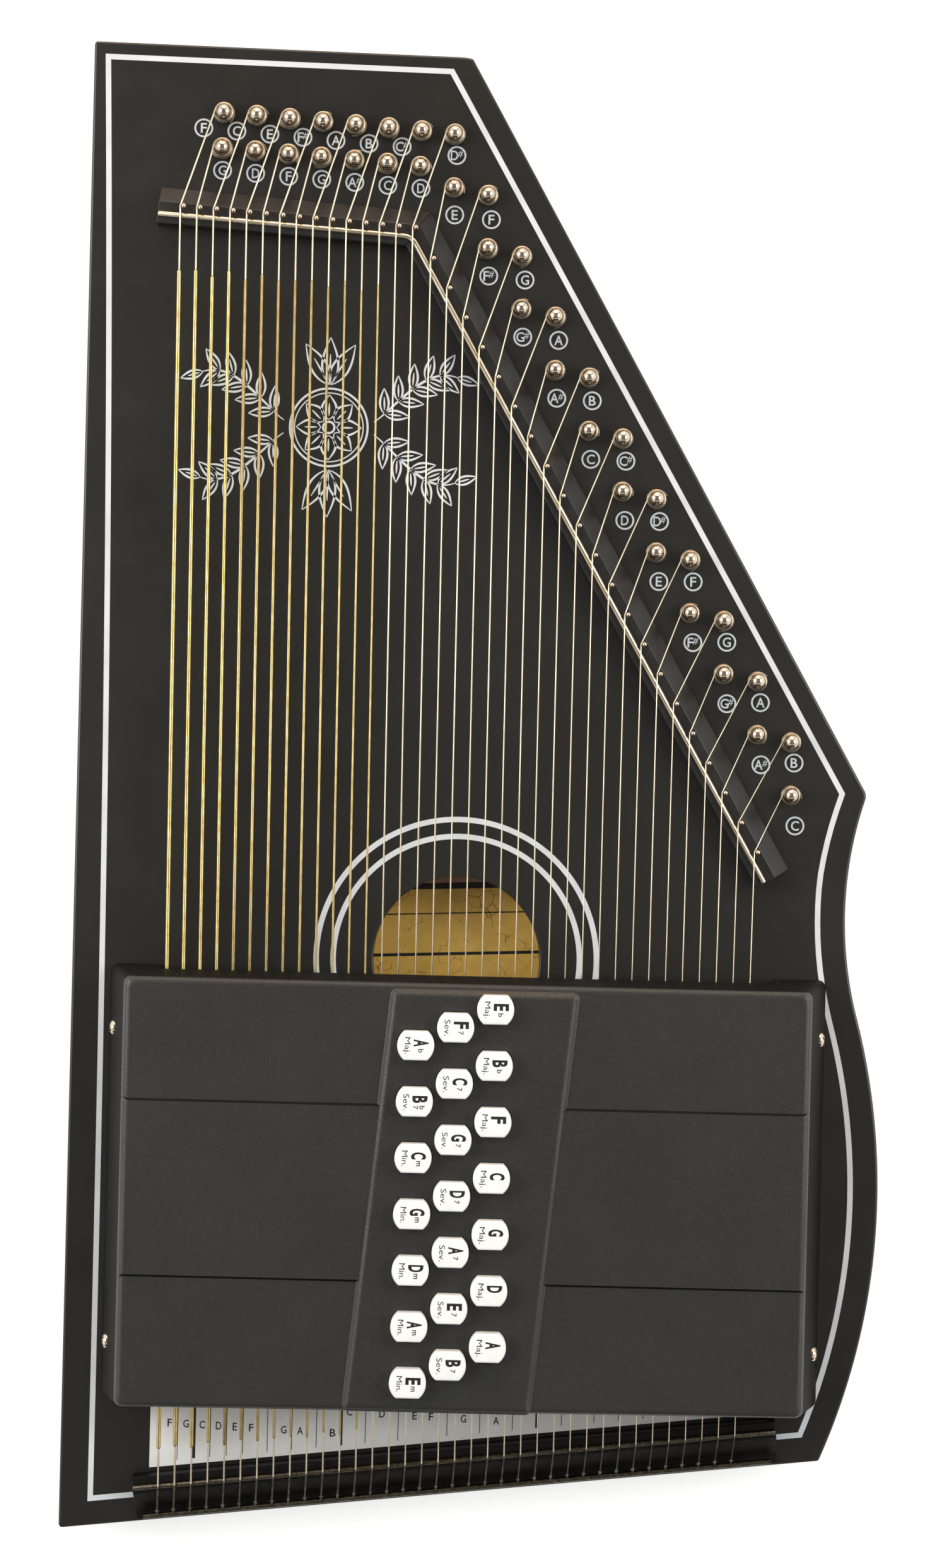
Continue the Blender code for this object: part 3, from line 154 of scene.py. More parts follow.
# Finer sizes, which only the looks have
BODY_TRIM = 0.05 * MM               # keeps the smooth outline inside the faceted one
PIECE_TRIM = 0.02 * MM              # the same for rods and pins
BRIDGE_FOOT = 0.1 * MM              # height of a moulded bridge's foot above the soundboard
MITRE_GAP = 0.1 * MM                # from the mitre to each of its two bridges
EDGE_RADIUS = 0.95 * MM
HOLE_EDGE = 0.6 * MM                # rounding of the sound hole's rim
END_BEVEL = 0.25 * MM               # at the ends of a moulded bridge
LARGE_FACE = 400 * MM * MM          # a face of this area or more is shaded flat
SEAM = 0.12 * MM                    # shallow seams between back, sides and soundboard
ARC_STEPS = 6                       # straight pieces that round a corner
TURN_SIDES = 48                     # sides of a turned piece
LINE_WIDTH = 2.1 * MM               # painted white lines
RING_RADII = mm(48.9, 55.5)         # white rings round the sound hole
NAME_RING = 3.65 * MM               # ring round a note name on the soundboard
NAME_LINE = 0.68 * MM
NAME_HEIGHT = 3.8 * MM
FONT_RATIO = 1.37                   # from the height of a capital letter to a font's size
LABEL_HALF = 48.0 * MM              # half the width of the label glued on the back
LABEL_Y = -63.0 * MM
LABEL_TURN = math.radians(2.5)
END_TURN = 0.06                     # how far the string ends turn to the bass side
COIL_TURNS = 3.6
COIL_RISE = 0.78 * MM               # from one turn of a coil to the next
COIL_SPREAD = 0.17 * MM             # how much wider each lower turn is
LOOSE_END = 0.12                    # share of a turn in which the wire's end stands out
LOOSE_REACH = 0.5 * MM              # by this much
WRAP_TO_GUIDE = 24.5 * MM           # bare wire between a winding and the guide pin
WRAP_TO_TAIL = 14.5 * MM            # and between a winding and the tail saddle
BUTTON_RADIUS = 7.0 * MM
BUTTON_HALF = 5.5 * MM              # from the middle of a button to its flats
BUTTON_LIFT = 3.6 * MM              # from a bar to the underside of its cap
BUTTON_TRIM = 0.06 * MM             # keeps the print on a cap inside the CAD's box
BUTTON_ROOM = 0.35 * MM             # between a button and its hole in the cover
CAP_EDGE = 0.7 * MM                 # rounding of a cap's upper edge
CAP_CHAMFER = 0.35 * MM             # and the bevel of its lower edge
STEM_HALF = mm(5.0, 2.7)            # half the width and length of a button's stem
TONGUE_LENGTH = 6.5 * MM            # the thinner end of a bar, which runs in a holder
TONGUE_STEP = 0.8 * MM              # how much lower its top is, and higher its underside
TONGUE_HALF = 2.0 * MM
FELT_HALF = 2.7 * MM
FELT_GAP = 2.4 * MM                 # felt cut away on each side of a free string
SHORTEST_FELT = 1.5 * MM
COVER_ROUND = 2.2 * MM              # rounding of the cover's upper edges
STEP_HALF = 33.84 * MM              # half the length of the cover's raised middle zone
STEP_RISE = 0.9 * MM
STEP_PROUD = 0.15 * MM              # and how far it stands out at the sides
TAIL_SHIFT = 2.6 * MM               # the cover's tail wall lies this much nearer the tail
TAIL_SKEW = 0.9 * MM                # and isn't quite square to the cover's sides
DOOR_TOP = 14.05 * MM               # openings for the strings in the cover's end walls
DOOR_INSET = 19.0 * MM
SCREW_HEIGHT = 12.5 * MM
PANEL_ROUND = 2.6 * MM
LETTER_BESIDE = 3.1 * MM            # from a string to its letter on the card
LETTER_HEIGHT = 3.0 * MM
RULE_START = 7.8 * MM               # from the tail saddle to the foot of a rule
ROW_START = mm(-115.6, -246.8)      # the letters' lower row, which falls to the treble side
ROW_FALL = 0.038
SECOND_ROW = 11                     # first string whose note stands higher on the card
ROW_RISE = 8.6 * MM

NOTES = ("F G C D E F F# G A A# B C C# D D# E F F# G G# A A# B C C# D D# E F F# G G# A A# B C"
         ).split()
CHORDS = ("Eb Maj.", "F7 Sev.", "Ab Maj.", "Bb Maj.", "C7 Sev.", "Bb7 Sev.", "F Maj.",
          "G7 Sev.", "Cm Min.", "C Maj.", "D7 Sev.", "Gm Min.", "G Maj.", "A7 Sev.",
          "Dm Min.", "D Maj.", "E7 Sev.", "Am Min.", "A Maj.", "B7 Sev.", "Em Min.")
PITCH_CLASSES = "C C# D D# E F F# G G# A A# B".split()
CHORD_TONES = {"": (0, 4, 7), "7": (0, 4, 7, 10), "m": (0, 3, 7)}


# Geometry in the plan


def shares(count):
    """Even steps from 0 to 1."""
    return [step / count for step in range(count + 1)]


def plus(point, offset, times=1):
    """A point moved by an offset, once or more times."""
    return (point[0] + offset[0] * times, point[1] + offset[1] * times)


def along(point, angle, distance):
    """A point at a distance from another, at an angle from the X axis."""
    return (point[0] + distance * math.cos(angle), point[1] + distance * math.sin(angle))


def shifted(line, distance):
    """A line, as point and angle, moved to its left."""
    point, angle = line
    return along(point, angle + math.pi / 2, distance), angle


def meeting(first, second):
    """Where two lines, each a point and an angle, cross."""
    (ax, ay), a = first
    (bx, by), b = second
    reach = ((bx - ax) * math.sin(b) - (by - ay) * math.cos(b)) / math.sin(b - a)
    return along(first[0], a, reach)


def rounded(before, corner, after, radius, steps=ARC_STEPS):
    """The arc that rounds a corner."""
    corner = Vector(corner)
    one = (Vector(before) - corner).normalized()
    two = (Vector(after) - corner).normalized()
    half = one.angle(two) / 2
    centre = corner + (one + two).normalized() * (radius / math.sin(half))
    start = corner + one * (radius / math.tan(half)) - centre
    turn = start.angle_signed(corner + two * (radius / math.tan(half)) - centre)
    return [tuple(centre + Matrix.Rotation(-turn * share, 2) @ start) for share in shares(steps)]


def softened(outline, radius, steps=ARC_STEPS):
    """A closed outline with every corner rounded. A list gives each corner its own radius."""
    radii = radius if isinstance(radius, (list, tuple)) else [radius] * len(outline)
    points = []
    for index, corner in enumerate(outline):
        after = outline[(index + 1) % len(outline)]
        points += (rounded(outline[index - 1], corner, after, radii[index], steps)
                   if radii[index] else [corner])
    return points


def bend_through(start, corner, end, steps=ARC_STEPS):
    """A soft corner with a longer run on one side than on the other."""
    return [tuple((1 - t) ** 2 * a + 2 * t * (1 - t) * b + t * t * c
                  for a, b, c in zip(start, corner, end)) for t in shares(steps)]


def inset(outline, distance):
    """A closed anticlockwise outline moved inwards."""
    moved = []
    for index, point in enumerate(outline):
        here = Vector(point)
        back = (here - Vector(outline[index - 1])).normalized()
        on = (Vector(outline[(index + 1) % len(outline)]) - here).normalized()
        middle = (back + on).normalized()
        share = max(middle.dot(on), 0.3)
        moved.append(tuple(here + Vector((-middle.y, middle.x)) * distance / share))
    return moved


def circle(centre, radius, sides=TURN_SIDES):
    return [along(centre, math.tau * step / sides, radius) for step in range(sides)]


def rectangle(left, right, low, high):
    return [(left, low), (right, low), (right, high), (left, high)]


# The outline of the body
HEAD_LEFT = (BASS_X, HEAD_Y)
HEAD_RIGHT = along(HEAD_LEFT, -HEAD_SLOPE, HEAD_WIDTH)
TAIL_LEFT = (BASS_X, TAIL_Y)
HEAD_EDGE = (HEAD_RIGHT, math.pi - HEAD_SLOPE)
BASS_EDGE = (HEAD_LEFT, -math.pi / 2)
TAIL_EDGE = (TAIL_LEFT, TAIL_SLOPE)
SLANT_EDGE = (HEAD_RIGHT, math.pi / 2 + DIAGONAL_ANGLE)
WAIST_Y = TAIL_Y + WAIST_FROM_TAIL
BELLY_Y = TAIL_Y + BELLY_FROM_TAIL
RISE = WAIST_Y - BELLY_Y
CENTRE_DISTANCE = (WAIST_DEPTH ** 2 + RISE ** 2) / (2 * WAIST_DEPTH)
WAIST_RADIUS = CENTRE_DISTANCE - BELLY_RADIUS
BELLY_CENTRE = (BELLY_X - BELLY_RADIUS, BELLY_Y)
WAIST_CENTRE = (BELLY_X - WAIST_DEPTH + WAIST_RADIUS, WAIST_Y)
SIDE_LEAN = math.atan2(RISE, WAIST_CENTRE[0] - BELLY_CENTRE[0])


def side_x(y, margin=0.0):
    """The curved treble side at a height in the plan, or a line inside it."""
    belly, waist = BELLY_RADIUS - margin, WAIST_RADIUS + margin
    if y < BELLY_Y + belly * math.sin(SIDE_LEAN):
        return BELLY_CENTRE[0] + math.sqrt(belly ** 2 - (y - BELLY_Y) ** 2)
    return WAIST_CENTRE[0] - math.sqrt(waist ** 2 - (y - WAIST_Y) ** 2)


def side_curve(low, high, steps, margin=0.0):
    """Points up the treble side between two heights in the plan."""
    heights = [low + (high - low) * share for share in shares(steps)]
    return [(side_x(y, margin), y) for y in heights]


def halve(low, high, inside):
    """The height in the plan up to which a test holds."""
    for _ in range(40):
        middle = (low + high) / 2
        low, high = (middle, high) if inside(middle) else (low, middle)
    return low


def line_x(line, y):
    return meeting(line, ((0.0, y), 0.0))[0]


SHOULDER_Y = halve(WAIST_Y, WAIST_Y + WAIST_RADIUS / 2,
                   lambda y: line_x(SLANT_EDGE, y) > side_x(y))
SHOULDER = (side_x(SHOULDER_Y), SHOULDER_Y)
TAIL_RIGHT_Y = halve(TAIL_Y, BELLY_Y, lambda y: line_x(TAIL_EDGE, y) < side_x(y))
TAIL_RIGHT = (side_x(TAIL_RIGHT_Y), TAIL_RIGHT_Y)


def body_outline():
    """The whole outline, anticlockwise from the head's bass corner."""
    above_tail = (side_x(TAIL_RIGHT_Y + 3 * MM), TAIL_RIGHT_Y + 3 * MM)
    below_shoulder = (side_x(SHOULDER_Y - 4 * MM), SHOULDER_Y - 4 * MM)
    return inset(rounded(HEAD_RIGHT, HEAD_LEFT, TAIL_LEFT, CORNER_RADIUS)
                 + rounded(HEAD_LEFT, TAIL_LEFT, TAIL_RIGHT, CORNER_RADIUS)
                 + rounded(TAIL_LEFT, TAIL_RIGHT, above_tail, CORNER_RADIUS)
                 + side_curve(TAIL_RIGHT_Y + 4 * MM, SHOULDER_Y - 6 * MM, 72)
                 + rounded(below_shoulder, SHOULDER, HEAD_RIGHT, SHOULDER_RADIUS)
                 + bend_through(along(HEAD_RIGHT, SLANT_EDGE[1], -1.0 * MM), HEAD_RIGHT,
                                along(HEAD_RIGHT, HEAD_EDGE[1], 5.8 * MM)), BODY_TRIM)


# The saddle line: a short run at the head, a bend, then the long slanting run
BEND = meeting(shifted(HEAD_EDGE, SADDLE_FROM_HEAD), shifted(SLANT_EDGE, SADDLE_FROM_SLANT))
HEAD_RUN = math.pi - HEAD_SADDLE_TILT
SLANT_RUN = -math.pi / 2 + TREBLE_SADDLE_ANGLE
HEAD_RUN_LENGTH = HEAD_SADDLE_END + (HEAD_STRINGS - 1) * HEAD_PITCH + SADDLE_OVERHANG
SLANT_RUN_LENGTH = (TREBLE_SADDLE_START + (STRING_COUNT - HEAD_STRINGS - 1) * TREBLE_PITCH
                    + TREBLE_OVERHANG)
TAIL_SADDLE = shifted(TAIL_EDGE, TAIL_SADDLE_FROM_EDGE)
FIRST_AT_TAIL = meeting(TAIL_SADDLE, ((BASS_X + BASS_INSET, 0.0), math.pi / 2))
TAIL_RUN_START = along(FIRST_AT_TAIL, TAIL_SLOPE, -SADDLE_OVERHANG)
TAIL_RUN_LENGTH = SADDLE_OVERHANG + (STRING_COUNT - 1) * TAIL_PITCH + TAIL_OVERHANG


def guide_place(number):
    """The guide pin of a string, which bends it round its treble side."""
    if number < HEAD_STRINGS:
        run, turn = HEAD_RUN, -math.pi / 2
        reach = HEAD_SADDLE_END + (HEAD_STRINGS - 1 - number) * HEAD_PITCH
    else:
        run, turn = SLANT_RUN, math.pi / 2
        reach = TREBLE_SADDLE_START + (number - HEAD_STRINGS) * TREBLE_PITCH
    return along(along(BEND, run, reach), run + turn, GUIDE_OFFSET)


def pin_place(number):
    """The tuning pin of a string."""
    if number < HEAD_STRINGS:
        return plus(guide_place(number), NEAR_PIN if number % 2 else FAR_PIN)
    pair, second = divmod(number - HEAD_STRINGS, 2)
    first = plus(guide_place(HEAD_STRINGS), SLANT_FIRST_PIN)
    place = along(first, -math.pi / 2 + SLANT_PIN_ANGLE, pair * SLANT_PAIR_PITCH)
    return plus(place, SLANT_PAIR_OFFSET, second)


def core_radius(number):
    """Radius of a string's wire, without its wrap."""
    if number < WOUND_STRINGS:
        return CORE_WIRE / 2
    share = (number - WOUND_STRINGS) / (STRING_COUNT - 1 - WOUND_STRINGS)
    return (0.56 - 0.16 * share) / 2 * MM


def string_guide_point(number):
    """Where a string passes its guide pin."""
    guide = guide_place(number)
    return guide[0] - GUIDE_RADIUS - GAP / 3 - core_radius(number), guide[1]


def string_tail_point(number):
    """Where a string crosses the tail saddle."""
    return along(FIRST_AT_TAIL, TAIL_SLOPE, number * TAIL_PITCH)


def string_x(number, y):
    """A string's place across the instrument at a height in the plan."""
    head, tail = string_guide_point(number), string_tail_point(number)
    return tail[0] + (head[0] - tail[0]) * (y - tail[1]) / (head[1] - tail[1])


# Nodes and materials


def linear(code):
    """A linear colour from an sRGB hex code."""
    parts = [int(code[i:i + 2], 16) / 255 for i in (0, 2, 4)]
    return tuple(p / 12.92 if p <= 0.04045 else ((p + 0.055) / 1.055) ** 2.4
                 for p in parts) + (1.0,)


def fill(tree, node, **inputs):
    """Give inputs, named or numbered as _0, a value, a hex colour or a socket to read from."""
    for key, value in inputs.items():
        target = node.inputs[int(key[1:])] if key[0] == "_" else node.inputs[key.replace("_", " ")]
        if isinstance(value, bpy.types.NodeSocket):
            tree.links.new(value, target)
        else:
            target.default_value = linear(value) if isinstance(value, str) else value


def add(tree, kind, settings=None, **inputs):
    """Add a node with its settings and inputs."""
    node = tree.nodes.new(kind)
    for key, value in (settings or {}).items():
        setattr(node, key, value)
    fill(tree, node, **inputs)
    return node


def maths(tree, operation, first, second):
    """Arithmetic on two values, each a number or a socket."""
    return add(tree, "ShaderNodeMath", {"operation": operation}, _0=first, _1=second).outputs[0]


def new_material(name, **values):
    """A material with its node tree, shader and object coordinates."""
    material = bpy.data.materials.new(name)
    material.use_nodes = True
    tree = material.node_tree
    shader = tree.nodes["Principled BSDF"]
    fill(tree, shader, **values)
    return material, tree, shader, add(tree, "ShaderNodeTexCoord").outputs["Object"]


def noise(tree, place, size, detail=3.0, roughness=0.5):
    """Cloudy noise whose patches are about the given size across."""
    return add(tree, "ShaderNodeTexNoise", Scale=1.0 / size, Detail=detail, Roughness=roughness,
               Vector=place).outputs[0]


def cells(tree, place, size, feature):
    """Distance inside the cells of a pattern of irregular cells."""
    return add(tree, "ShaderNodeTexVoronoi", {"feature": feature}, Scale=1.0 / size,
               Vector=place).outputs["Distance"]


def remap(tree, value, low, high, to_low=0.0, to_high=1.0):
    return add(tree, "ShaderNodeMapRange", _0=value, _1=low, _2=high, _3=to_low,
               _4=to_high).outputs[0]


def mixed(tree, factor, first, second):
    """A colour between two others, each a hex code or a socket."""
    return add(tree, "ShaderNodeMix", {"data_type": "RGBA"}, _0=factor, _6=first,
               _7=second).outputs[2]


def bump(tree, height, distance):
    """A bump whose height is a real distance."""
    return add(tree, "ShaderNodeBump", Strength=1.0, Distance=distance, Height=height).outputs[0]


def surface(name, colour, other, patch, roughness, grain=None, metallic=0.0, wear=None,
            **values):
    """A finish: two near colours in patches, uneven gloss, a fine grain and small marks."""
    low, high = roughness
    material, tree, shader, place = new_material(name, Metallic=metallic, **values)
    tint = mixed(tree, remap(tree, noise(tree, place, patch), 0.35, 0.65), colour, other)
    if wear:
        spots, mark = wear
        tint = mixed(tree, remap(tree, noise(tree, place, spots, 2.0), 0.70, 0.74), tint, mark)
    gloss = remap(tree, noise(tree, place, patch / 3), 0.3, 0.7, low, high)
    fill(tree, shader, Base_Color=tint, Roughness=gloss)
    if grain:
        size, depth = grain
        fill(tree, shader, Normal=bump(tree, noise(tree, place, size, 2.0), depth))
    return material


def pebbled(name, colour, other, size, depth, roughness, **values):
    """Moulded plastic with a leather-like pebble grain."""
    material, tree, shader, place = new_material(name, **values)
    soft = noise(tree, place, size * 1.7, 2.0)
    height = maths(tree, "MULTIPLY", cells(tree, place, size, "F1"), soft)
    tint = mixed(tree, remap(tree, noise(tree, place, 30 * MM), 0.35, 0.65), colour, other)
    gloss = remap(tree, soft, 0.3, 0.7, roughness - 0.06, roughness + 0.08)
    fill(tree, shader, Base_Color=tint, Roughness=gloss, Normal=bump(tree, height, depth))
    return material


def grained_wood(name, early, late, ring, along_axis):
    """Bare wood with its grain along one axis."""
    material, tree, shader, place = new_material(name, Roughness=0.55)
    scale = [1.0, 1.0, 1.0]
    scale[along_axis] = 0.06
    place = add(tree, "ShaderNodeMapping", Vector=place, Scale=scale).outputs[0]
    tint = mixed(tree, remap(tree, noise(tree, place, ring, 4.0, 0.6), 0.35, 0.65), early, late)
    pores = bump(tree, noise(tree, place, ring / 6, 2.0), 0.05 * MM)
    fill(tree, shader, Base_Color=tint, Normal=pores)
    return material


def label_paper(name):
    """Old gold-printed paper, mottled and crackled."""
    material, tree, shader, place = new_material(name, Roughness=0.55)
    clouds = noise(tree, place, 9 * MM, 5.0, 0.65)
    tint = mixed(tree, remap(tree, clouds, 0.3, 0.7), "EBBB50", "FDD068")
    crack = remap(tree, cells(tree, place, 5 * MM, "DISTANCE_TO_EDGE"), 0.0, 0.035, 1.0, 0.0)
    some = remap(tree, noise(tree, place, 12 * MM), 0.5, 0.6)
    fill(tree, shader, Base_Color=mixed(tree, maths(tree, "MULTIPLY", crack, some), tint,
                                        "5A431A"))
    return material


MATERIALS = {
    # Nitrocellulose lacquer on wood: near black, satin, slightly wavy from the brush
    "lacquer": surface("black_lacquer", "1E1D1A", "22211D", 60 * MM, (0.3, 0.36),
                       mm(1.6, 0.006), wear=(0.9 * MM, "2A2926")),
    # The white lines and note names are printed enamel, the finer prints more faded
    "white": surface("white_enamel", "DADFE1", "D0D5D7", 15 * MM, (0.4, 0.5)),
    "faded_white": surface("faded_white_enamel", "C8CED1", "BBC1C4", 9 * MM, (0.45, 0.55)),
    # Injection-moulded ABS with a pebble grain, rubbed smoother along its upper edges and painted
    # lighter there as a painted highlight
    "cover": pebbled("pebbled_black_abs", "242422", "282825", 0.5 * MM, 0.07 * MM, 0.46),
    "rubbed_highlit": pebbled("rubbed_black_abs", "33322F", "292826", 0.4 * MM, 0.12 * MM, 0.36),
    # The same ABS, painted darker on the cover's outer walls and the middle zone's end steps as
    # painted shade
    "wall": pebbled("pebbled_abs_wall", "10100F", "141413", 0.5 * MM, 0.05 * MM, 0.65,
                    Specular_IOR_Level=0.1),
    # Smooth moulded ABS of the bridges and holders
    "abs": surface("moulded_black_abs", "1A1917", "211F1C", 20 * MM, (0.3, 0.42), mm(0.5, 0.01)),
    # Matte ABS of the tail bridge, painted darker than the other bridges as painted shade
    "dull_abs": surface("grimy_black_abs", "0C0B0A", "161411", 9 * MM, (0.45, 0.65),
                        mm(0.7, 0.02), Specular_IOR_Level=0.15),
    # Nickel plate on steel: bright, faintly warm, with small dull spots
    "nickel": surface("nickel_plate", "DFCFB9", "C9B7A1", 1.5 * MM, (0.1, 0.2),
                      mm(0.4, 0.004), 1.0),
    "rod": surface("nickel_rod", "EADCC4", "DCCAAB", 12 * MM, (0.22, 0.28), None, 1.0),
    "old_rod": surface("tarnished_steel_rod", "6A6254", "484237", 1.4 * MM, (0.3, 0.42),
                       mm(0.5, 0.02), 1.0),
    # Tinned music wire, painted darker past the tail saddle as painted shade
    "wire": surface("tinned_music_wire", "EADCC4", "DACAB0", 8 * MM, (0.3, 0.38), None, 1.0),
    "shaded_wire": surface("tarnished_music_wire", "7A7365", "585145", 2 * MM, (0.4, 0.5), None,
                         1.0),
    # Coil turns under the pin heads, painted darker as painted shade
    "coil": surface("greyed_music_wire", "A99D8A", "857A69", 3 * MM, (0.28, 0.4), None, 1.0),
    # Brass winding wire: round turns on the thick strings, ground smooth on the others
    "wrap": surface("brass_winding_wire", "D6C288", "C0A662", 4 * MM, (0.3, 0.38), None, 1.0),
    "fine_wrap": surface("ground_brass_winding", "C4AF7C", "B09A62", 5 * MM, (0.32, 0.4), None,
                         1.0),
    # Polished white ABS caps, printed in black ink
    "button": surface("white_abs_button", "FAF9F6", "F4F3EF", 6 * MM, (0.28, 0.36),
                      mm(0.8, 0.003)),
    "ink": surface("black_ink", "161616", "1F1F1E", 3 * MM, (0.4, 0.5)),
    # Uncoated printed card, with small worn specks
    "card": surface("printed_card", "F8F6F2", "F0EDE7", 10 * MM, (0.6, 0.75), mm(0.4, 0.01),
                    wear=(0.8 * MM, "C6C0B4")),
    # Extruded and black anodised bars, with pressed wool felt glued below
    "bar": surface("anodised_black_bar", "151515", "1A1A19", 12 * MM, (0.32, 0.42)),
    "felt": surface("wool_felt", "26231F", "34302A", 1.2 * MM, (0.9, 1.0), mm(0.25, 0.12)),
    # Sawn wood inside, never finished
    "maple": grained_wood("bare_maple", "C79F6B", "AD8350", 3.0 * MM, 1),
    "ply": grained_wood("bare_plywood_back", "C9A184", "B58A6C", 4.0 * MM, 0),
    "spruce": grained_wood("spruce_brace", "D2B07A", "B88F55", 1.6 * MM, 0),
    "paper": label_paper("gold_label_paper"),
}


# Building meshes


def opened(*meshes):
    """A shape to edit, with all that the meshes hold."""
    shape = bmesh.new()
    for mesh in meshes:
        shape.from_mesh(mesh)
    return shape


def closed(shape, mesh=None, outwards=True):
    """The mesh of an edited shape, its faces turned outwards."""
    if outwards:
        bmesh.ops.recalc_face_normals(shape, faces=shape.faces)
    mesh = mesh or bpy.data.meshes.new("mesh")
    shape.to_mesh(mesh)
    shape.free()
    return mesh


def weld(mesh, distance=0.002 * MM):
    shape = opened(mesh)
    bmesh.ops.remove_doubles(shape, verts=shape.verts, dist=distance)
    return closed(shape, mesh)


def shade(mesh, angle):
    """Smooth shading, with sharp edges kept sharp and large flat faces kept flat."""
    mesh.set_sharp_from_angle(angle=math.radians(angle))
    for face in mesh.polygons:
        face.use_smooth = face.area < LARGE_FACE


def new_object(name, data):
    thing = bpy.data.objects.new(name, data)
    bpy.context.scene.collection.objects.link(thing)
    return thing


def piece_from(name, mesh, material, body=BODY, node=None, angle=35.0):
    """A finished piece that rides on a body and may stand for a CAD node."""
    mesh.name = name
    names = material if isinstance(material, list) else [material]
    slots = [min(face.material_index, len(names) - 1) for face in mesh.polygons]
    mesh.materials.clear()
    for one in names:
        mesh.materials.append(MATERIALS[one])
    mesh.polygons.foreach_set("material_index", slots)
    shade(mesh, angle)
    piece = new_object(name, mesh)
    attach(piece, body)
    if node:
        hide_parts(*([node] if isinstance(node, str) else node))
    return piece


def evaluated_mesh(thing):
    """The shape of an object with its modifiers, as a plain mesh. The object is removed."""
    bpy.context.view_layer.update()
    depsgraph = bpy.context.evaluated_depsgraph_get()
    mesh = bpy.data.meshes.new_from_object(thing.evaluated_get(depsgraph))
    mesh.transform(thing.matrix_world)
    bpy.data.objects.remove(thing, do_unlink=True)
    return mesh


def loft(rings, endless=False, slot=0):
    """A mesh through rings of equally many points, each ring a list of (x, y, z)."""
    shape = bmesh.new()
    rows = [[shape.verts.new(point) for point in ring] for ring in rings]
    count = len(rows[0])
    for low, high in list(zip(rows, rows[1:])) + ([(rows[-1], rows[0])] if endless else []):
        for i in range(count):
            j = (i + 1) % count
            shape.faces.new((low[i], low[j], high[j], high[i]))
    if not endless:
        shape.faces.new(rows[0][::-1])
        shape.faces.new(rows[-1])
    for face in shape.faces:
        face.material_index = slot
    return closed(shape)


def lifted(outline, z):
    return [(x, y, z) for x, y in outline]


def slab(outline, low, high, slot=0):
    """A flat plate between two heights."""
    return loft([lifted(outline, low), lifted(outline, high)], slot=slot)


def painted(outline):
    """A plate as thin as paint, half sunk in the soundboard."""
    return slab(outline, BOARD_TOP - EPS, BOARD_TOP + EPS)


def painted_band(outer, inner):
    """A painted closed line between two outlines."""
    low, high = BOARD_TOP - EPS, BOARD_TOP + EPS
    return loft([lifted(outer, low), lifted(outer, high), lifted(inner, high),
                 lifted(inner, low)], endless=True)


def painted_ring(centre, radius, width, sides):
    return painted_band(circle(centre, radius, sides), circle(centre, radius - width, sides))


def stacked(outline, profile):
    """A plate whose edge follows a profile of (inset, height) steps.

    The outline is a list of points, or a function that gives the outline for an inset."""
    shrunk = outline if callable(outline) else lambda back: inset(outline, back)
    return loft([lifted(shrunk(back), z) for back, z in profile])


def plate_outline(corners, radius):
    """The outline of a plate with rounded corners, as a function of the inset."""
    return lambda back: softened(inset(corners, back), max(radius - back, 0.2 * MM))


def quarter(radius, start_z, steps=4, upwards=True):
    """Inset and height steps that round an edge."""
    points = []
    for share in shares(steps):
        sine, cosine = math.sin(math.pi / 2 * share), math.cos(math.pi / 2 * share)
        back, up = (1 - cosine, sine) if upwards else (1 - sine, 1 - cosine)
        points.append((radius * back, start_z + radius * up))
    return points


def joined(meshes):
    """One mesh from several."""
    whole = closed(opened(*meshes), outwards=False)
    for mesh in meshes:
        bpy.data.meshes.remove(mesh)
    return whole


def boolean(operation, mesh, *others):
    """Cut a mesh with others, or join them to it."""
    thing = new_object("being_cut", mesh)
    helpers = [new_object("helper", other) for other in others]
    for helper in helpers:
        modifier = thing.modifiers.new(operation, "BOOLEAN")
        modifier.operation = operation
        modifier.solver = "EXACT"
        modifier.object = helper
    result = evaluated_mesh(thing)
    for helper in helpers:
        bpy.data.objects.remove(helper, do_unlink=True)
    return weld(result)


def lathe(profile, sides=TURN_SIDES):
    """A turned shape about Z from (radius, height) steps. It ends on the axis."""
    shape = bmesh.new()
    rows = [[shape.verts.new((*point, z))
             for point in circle((0, 0), radius, sides if radius else 1)]
            for radius, z in profile]
    for low, high in zip(rows, rows[1:]):
        for i in range(sides):
            j = (i + 1) % sides
            corners = [low[i % len(low)], low[j % len(low)], high[j % len(high)],
                       high[i % len(high)]]
            shape.faces.new(list(dict.fromkeys(corners)))
    return closed(shape)


def domed(radius, rise, middle, steps, start=0.0):
    """Steps of (radius, height) up a dome, from a share of a quarter turn to its top."""
    turns = [math.pi / 2 * (start + (1 - start) * share) for share in shares(steps)[1:-1]]
    return [(radius * math.cos(turn), middle + rise * math.sin(turn))
            for turn in turns] + [(0.0, middle + rise)]


def box_mesh(low, high):
    return slab(rectangle(low[0], high[0], low[1], high[1]), low[2], high[2])


# Geometry Nodes: setting shapes out on points, and drawing wire along curves


def new_group(name, **sockets):
    """An empty node group with a Geometry input and output and more named inputs."""
    tree = bpy.data.node_groups.new(name, "GeometryNodeTree")
    tree.interface.new_socket("Geometry", in_out="INPUT", socket_type="NodeSocketGeometry")
    for label, kind in sockets.items():
        tree.interface.new_socket(label.replace("_", " "), in_out="INPUT",
                                  socket_type="NodeSocket" + kind)
    tree.interface.new_socket("Geometry", in_out="OUTPUT", socket_type="NodeSocketGeometry")
    return tree, tree.nodes.new("NodeGroupInput").outputs


def end_group(tree, geometry, finish):
    """Realize the instances, set the material and send the result out."""
    real = add(tree, "GeometryNodeRealizeInstances", Geometry=geometry).outputs[0]
    dressed = add(tree, "GeometryNodeSetMaterial", Geometry=real, Material=finish).outputs[0]
    add(tree, "NodeGroupOutput", Geometry=dressed)
    return tree


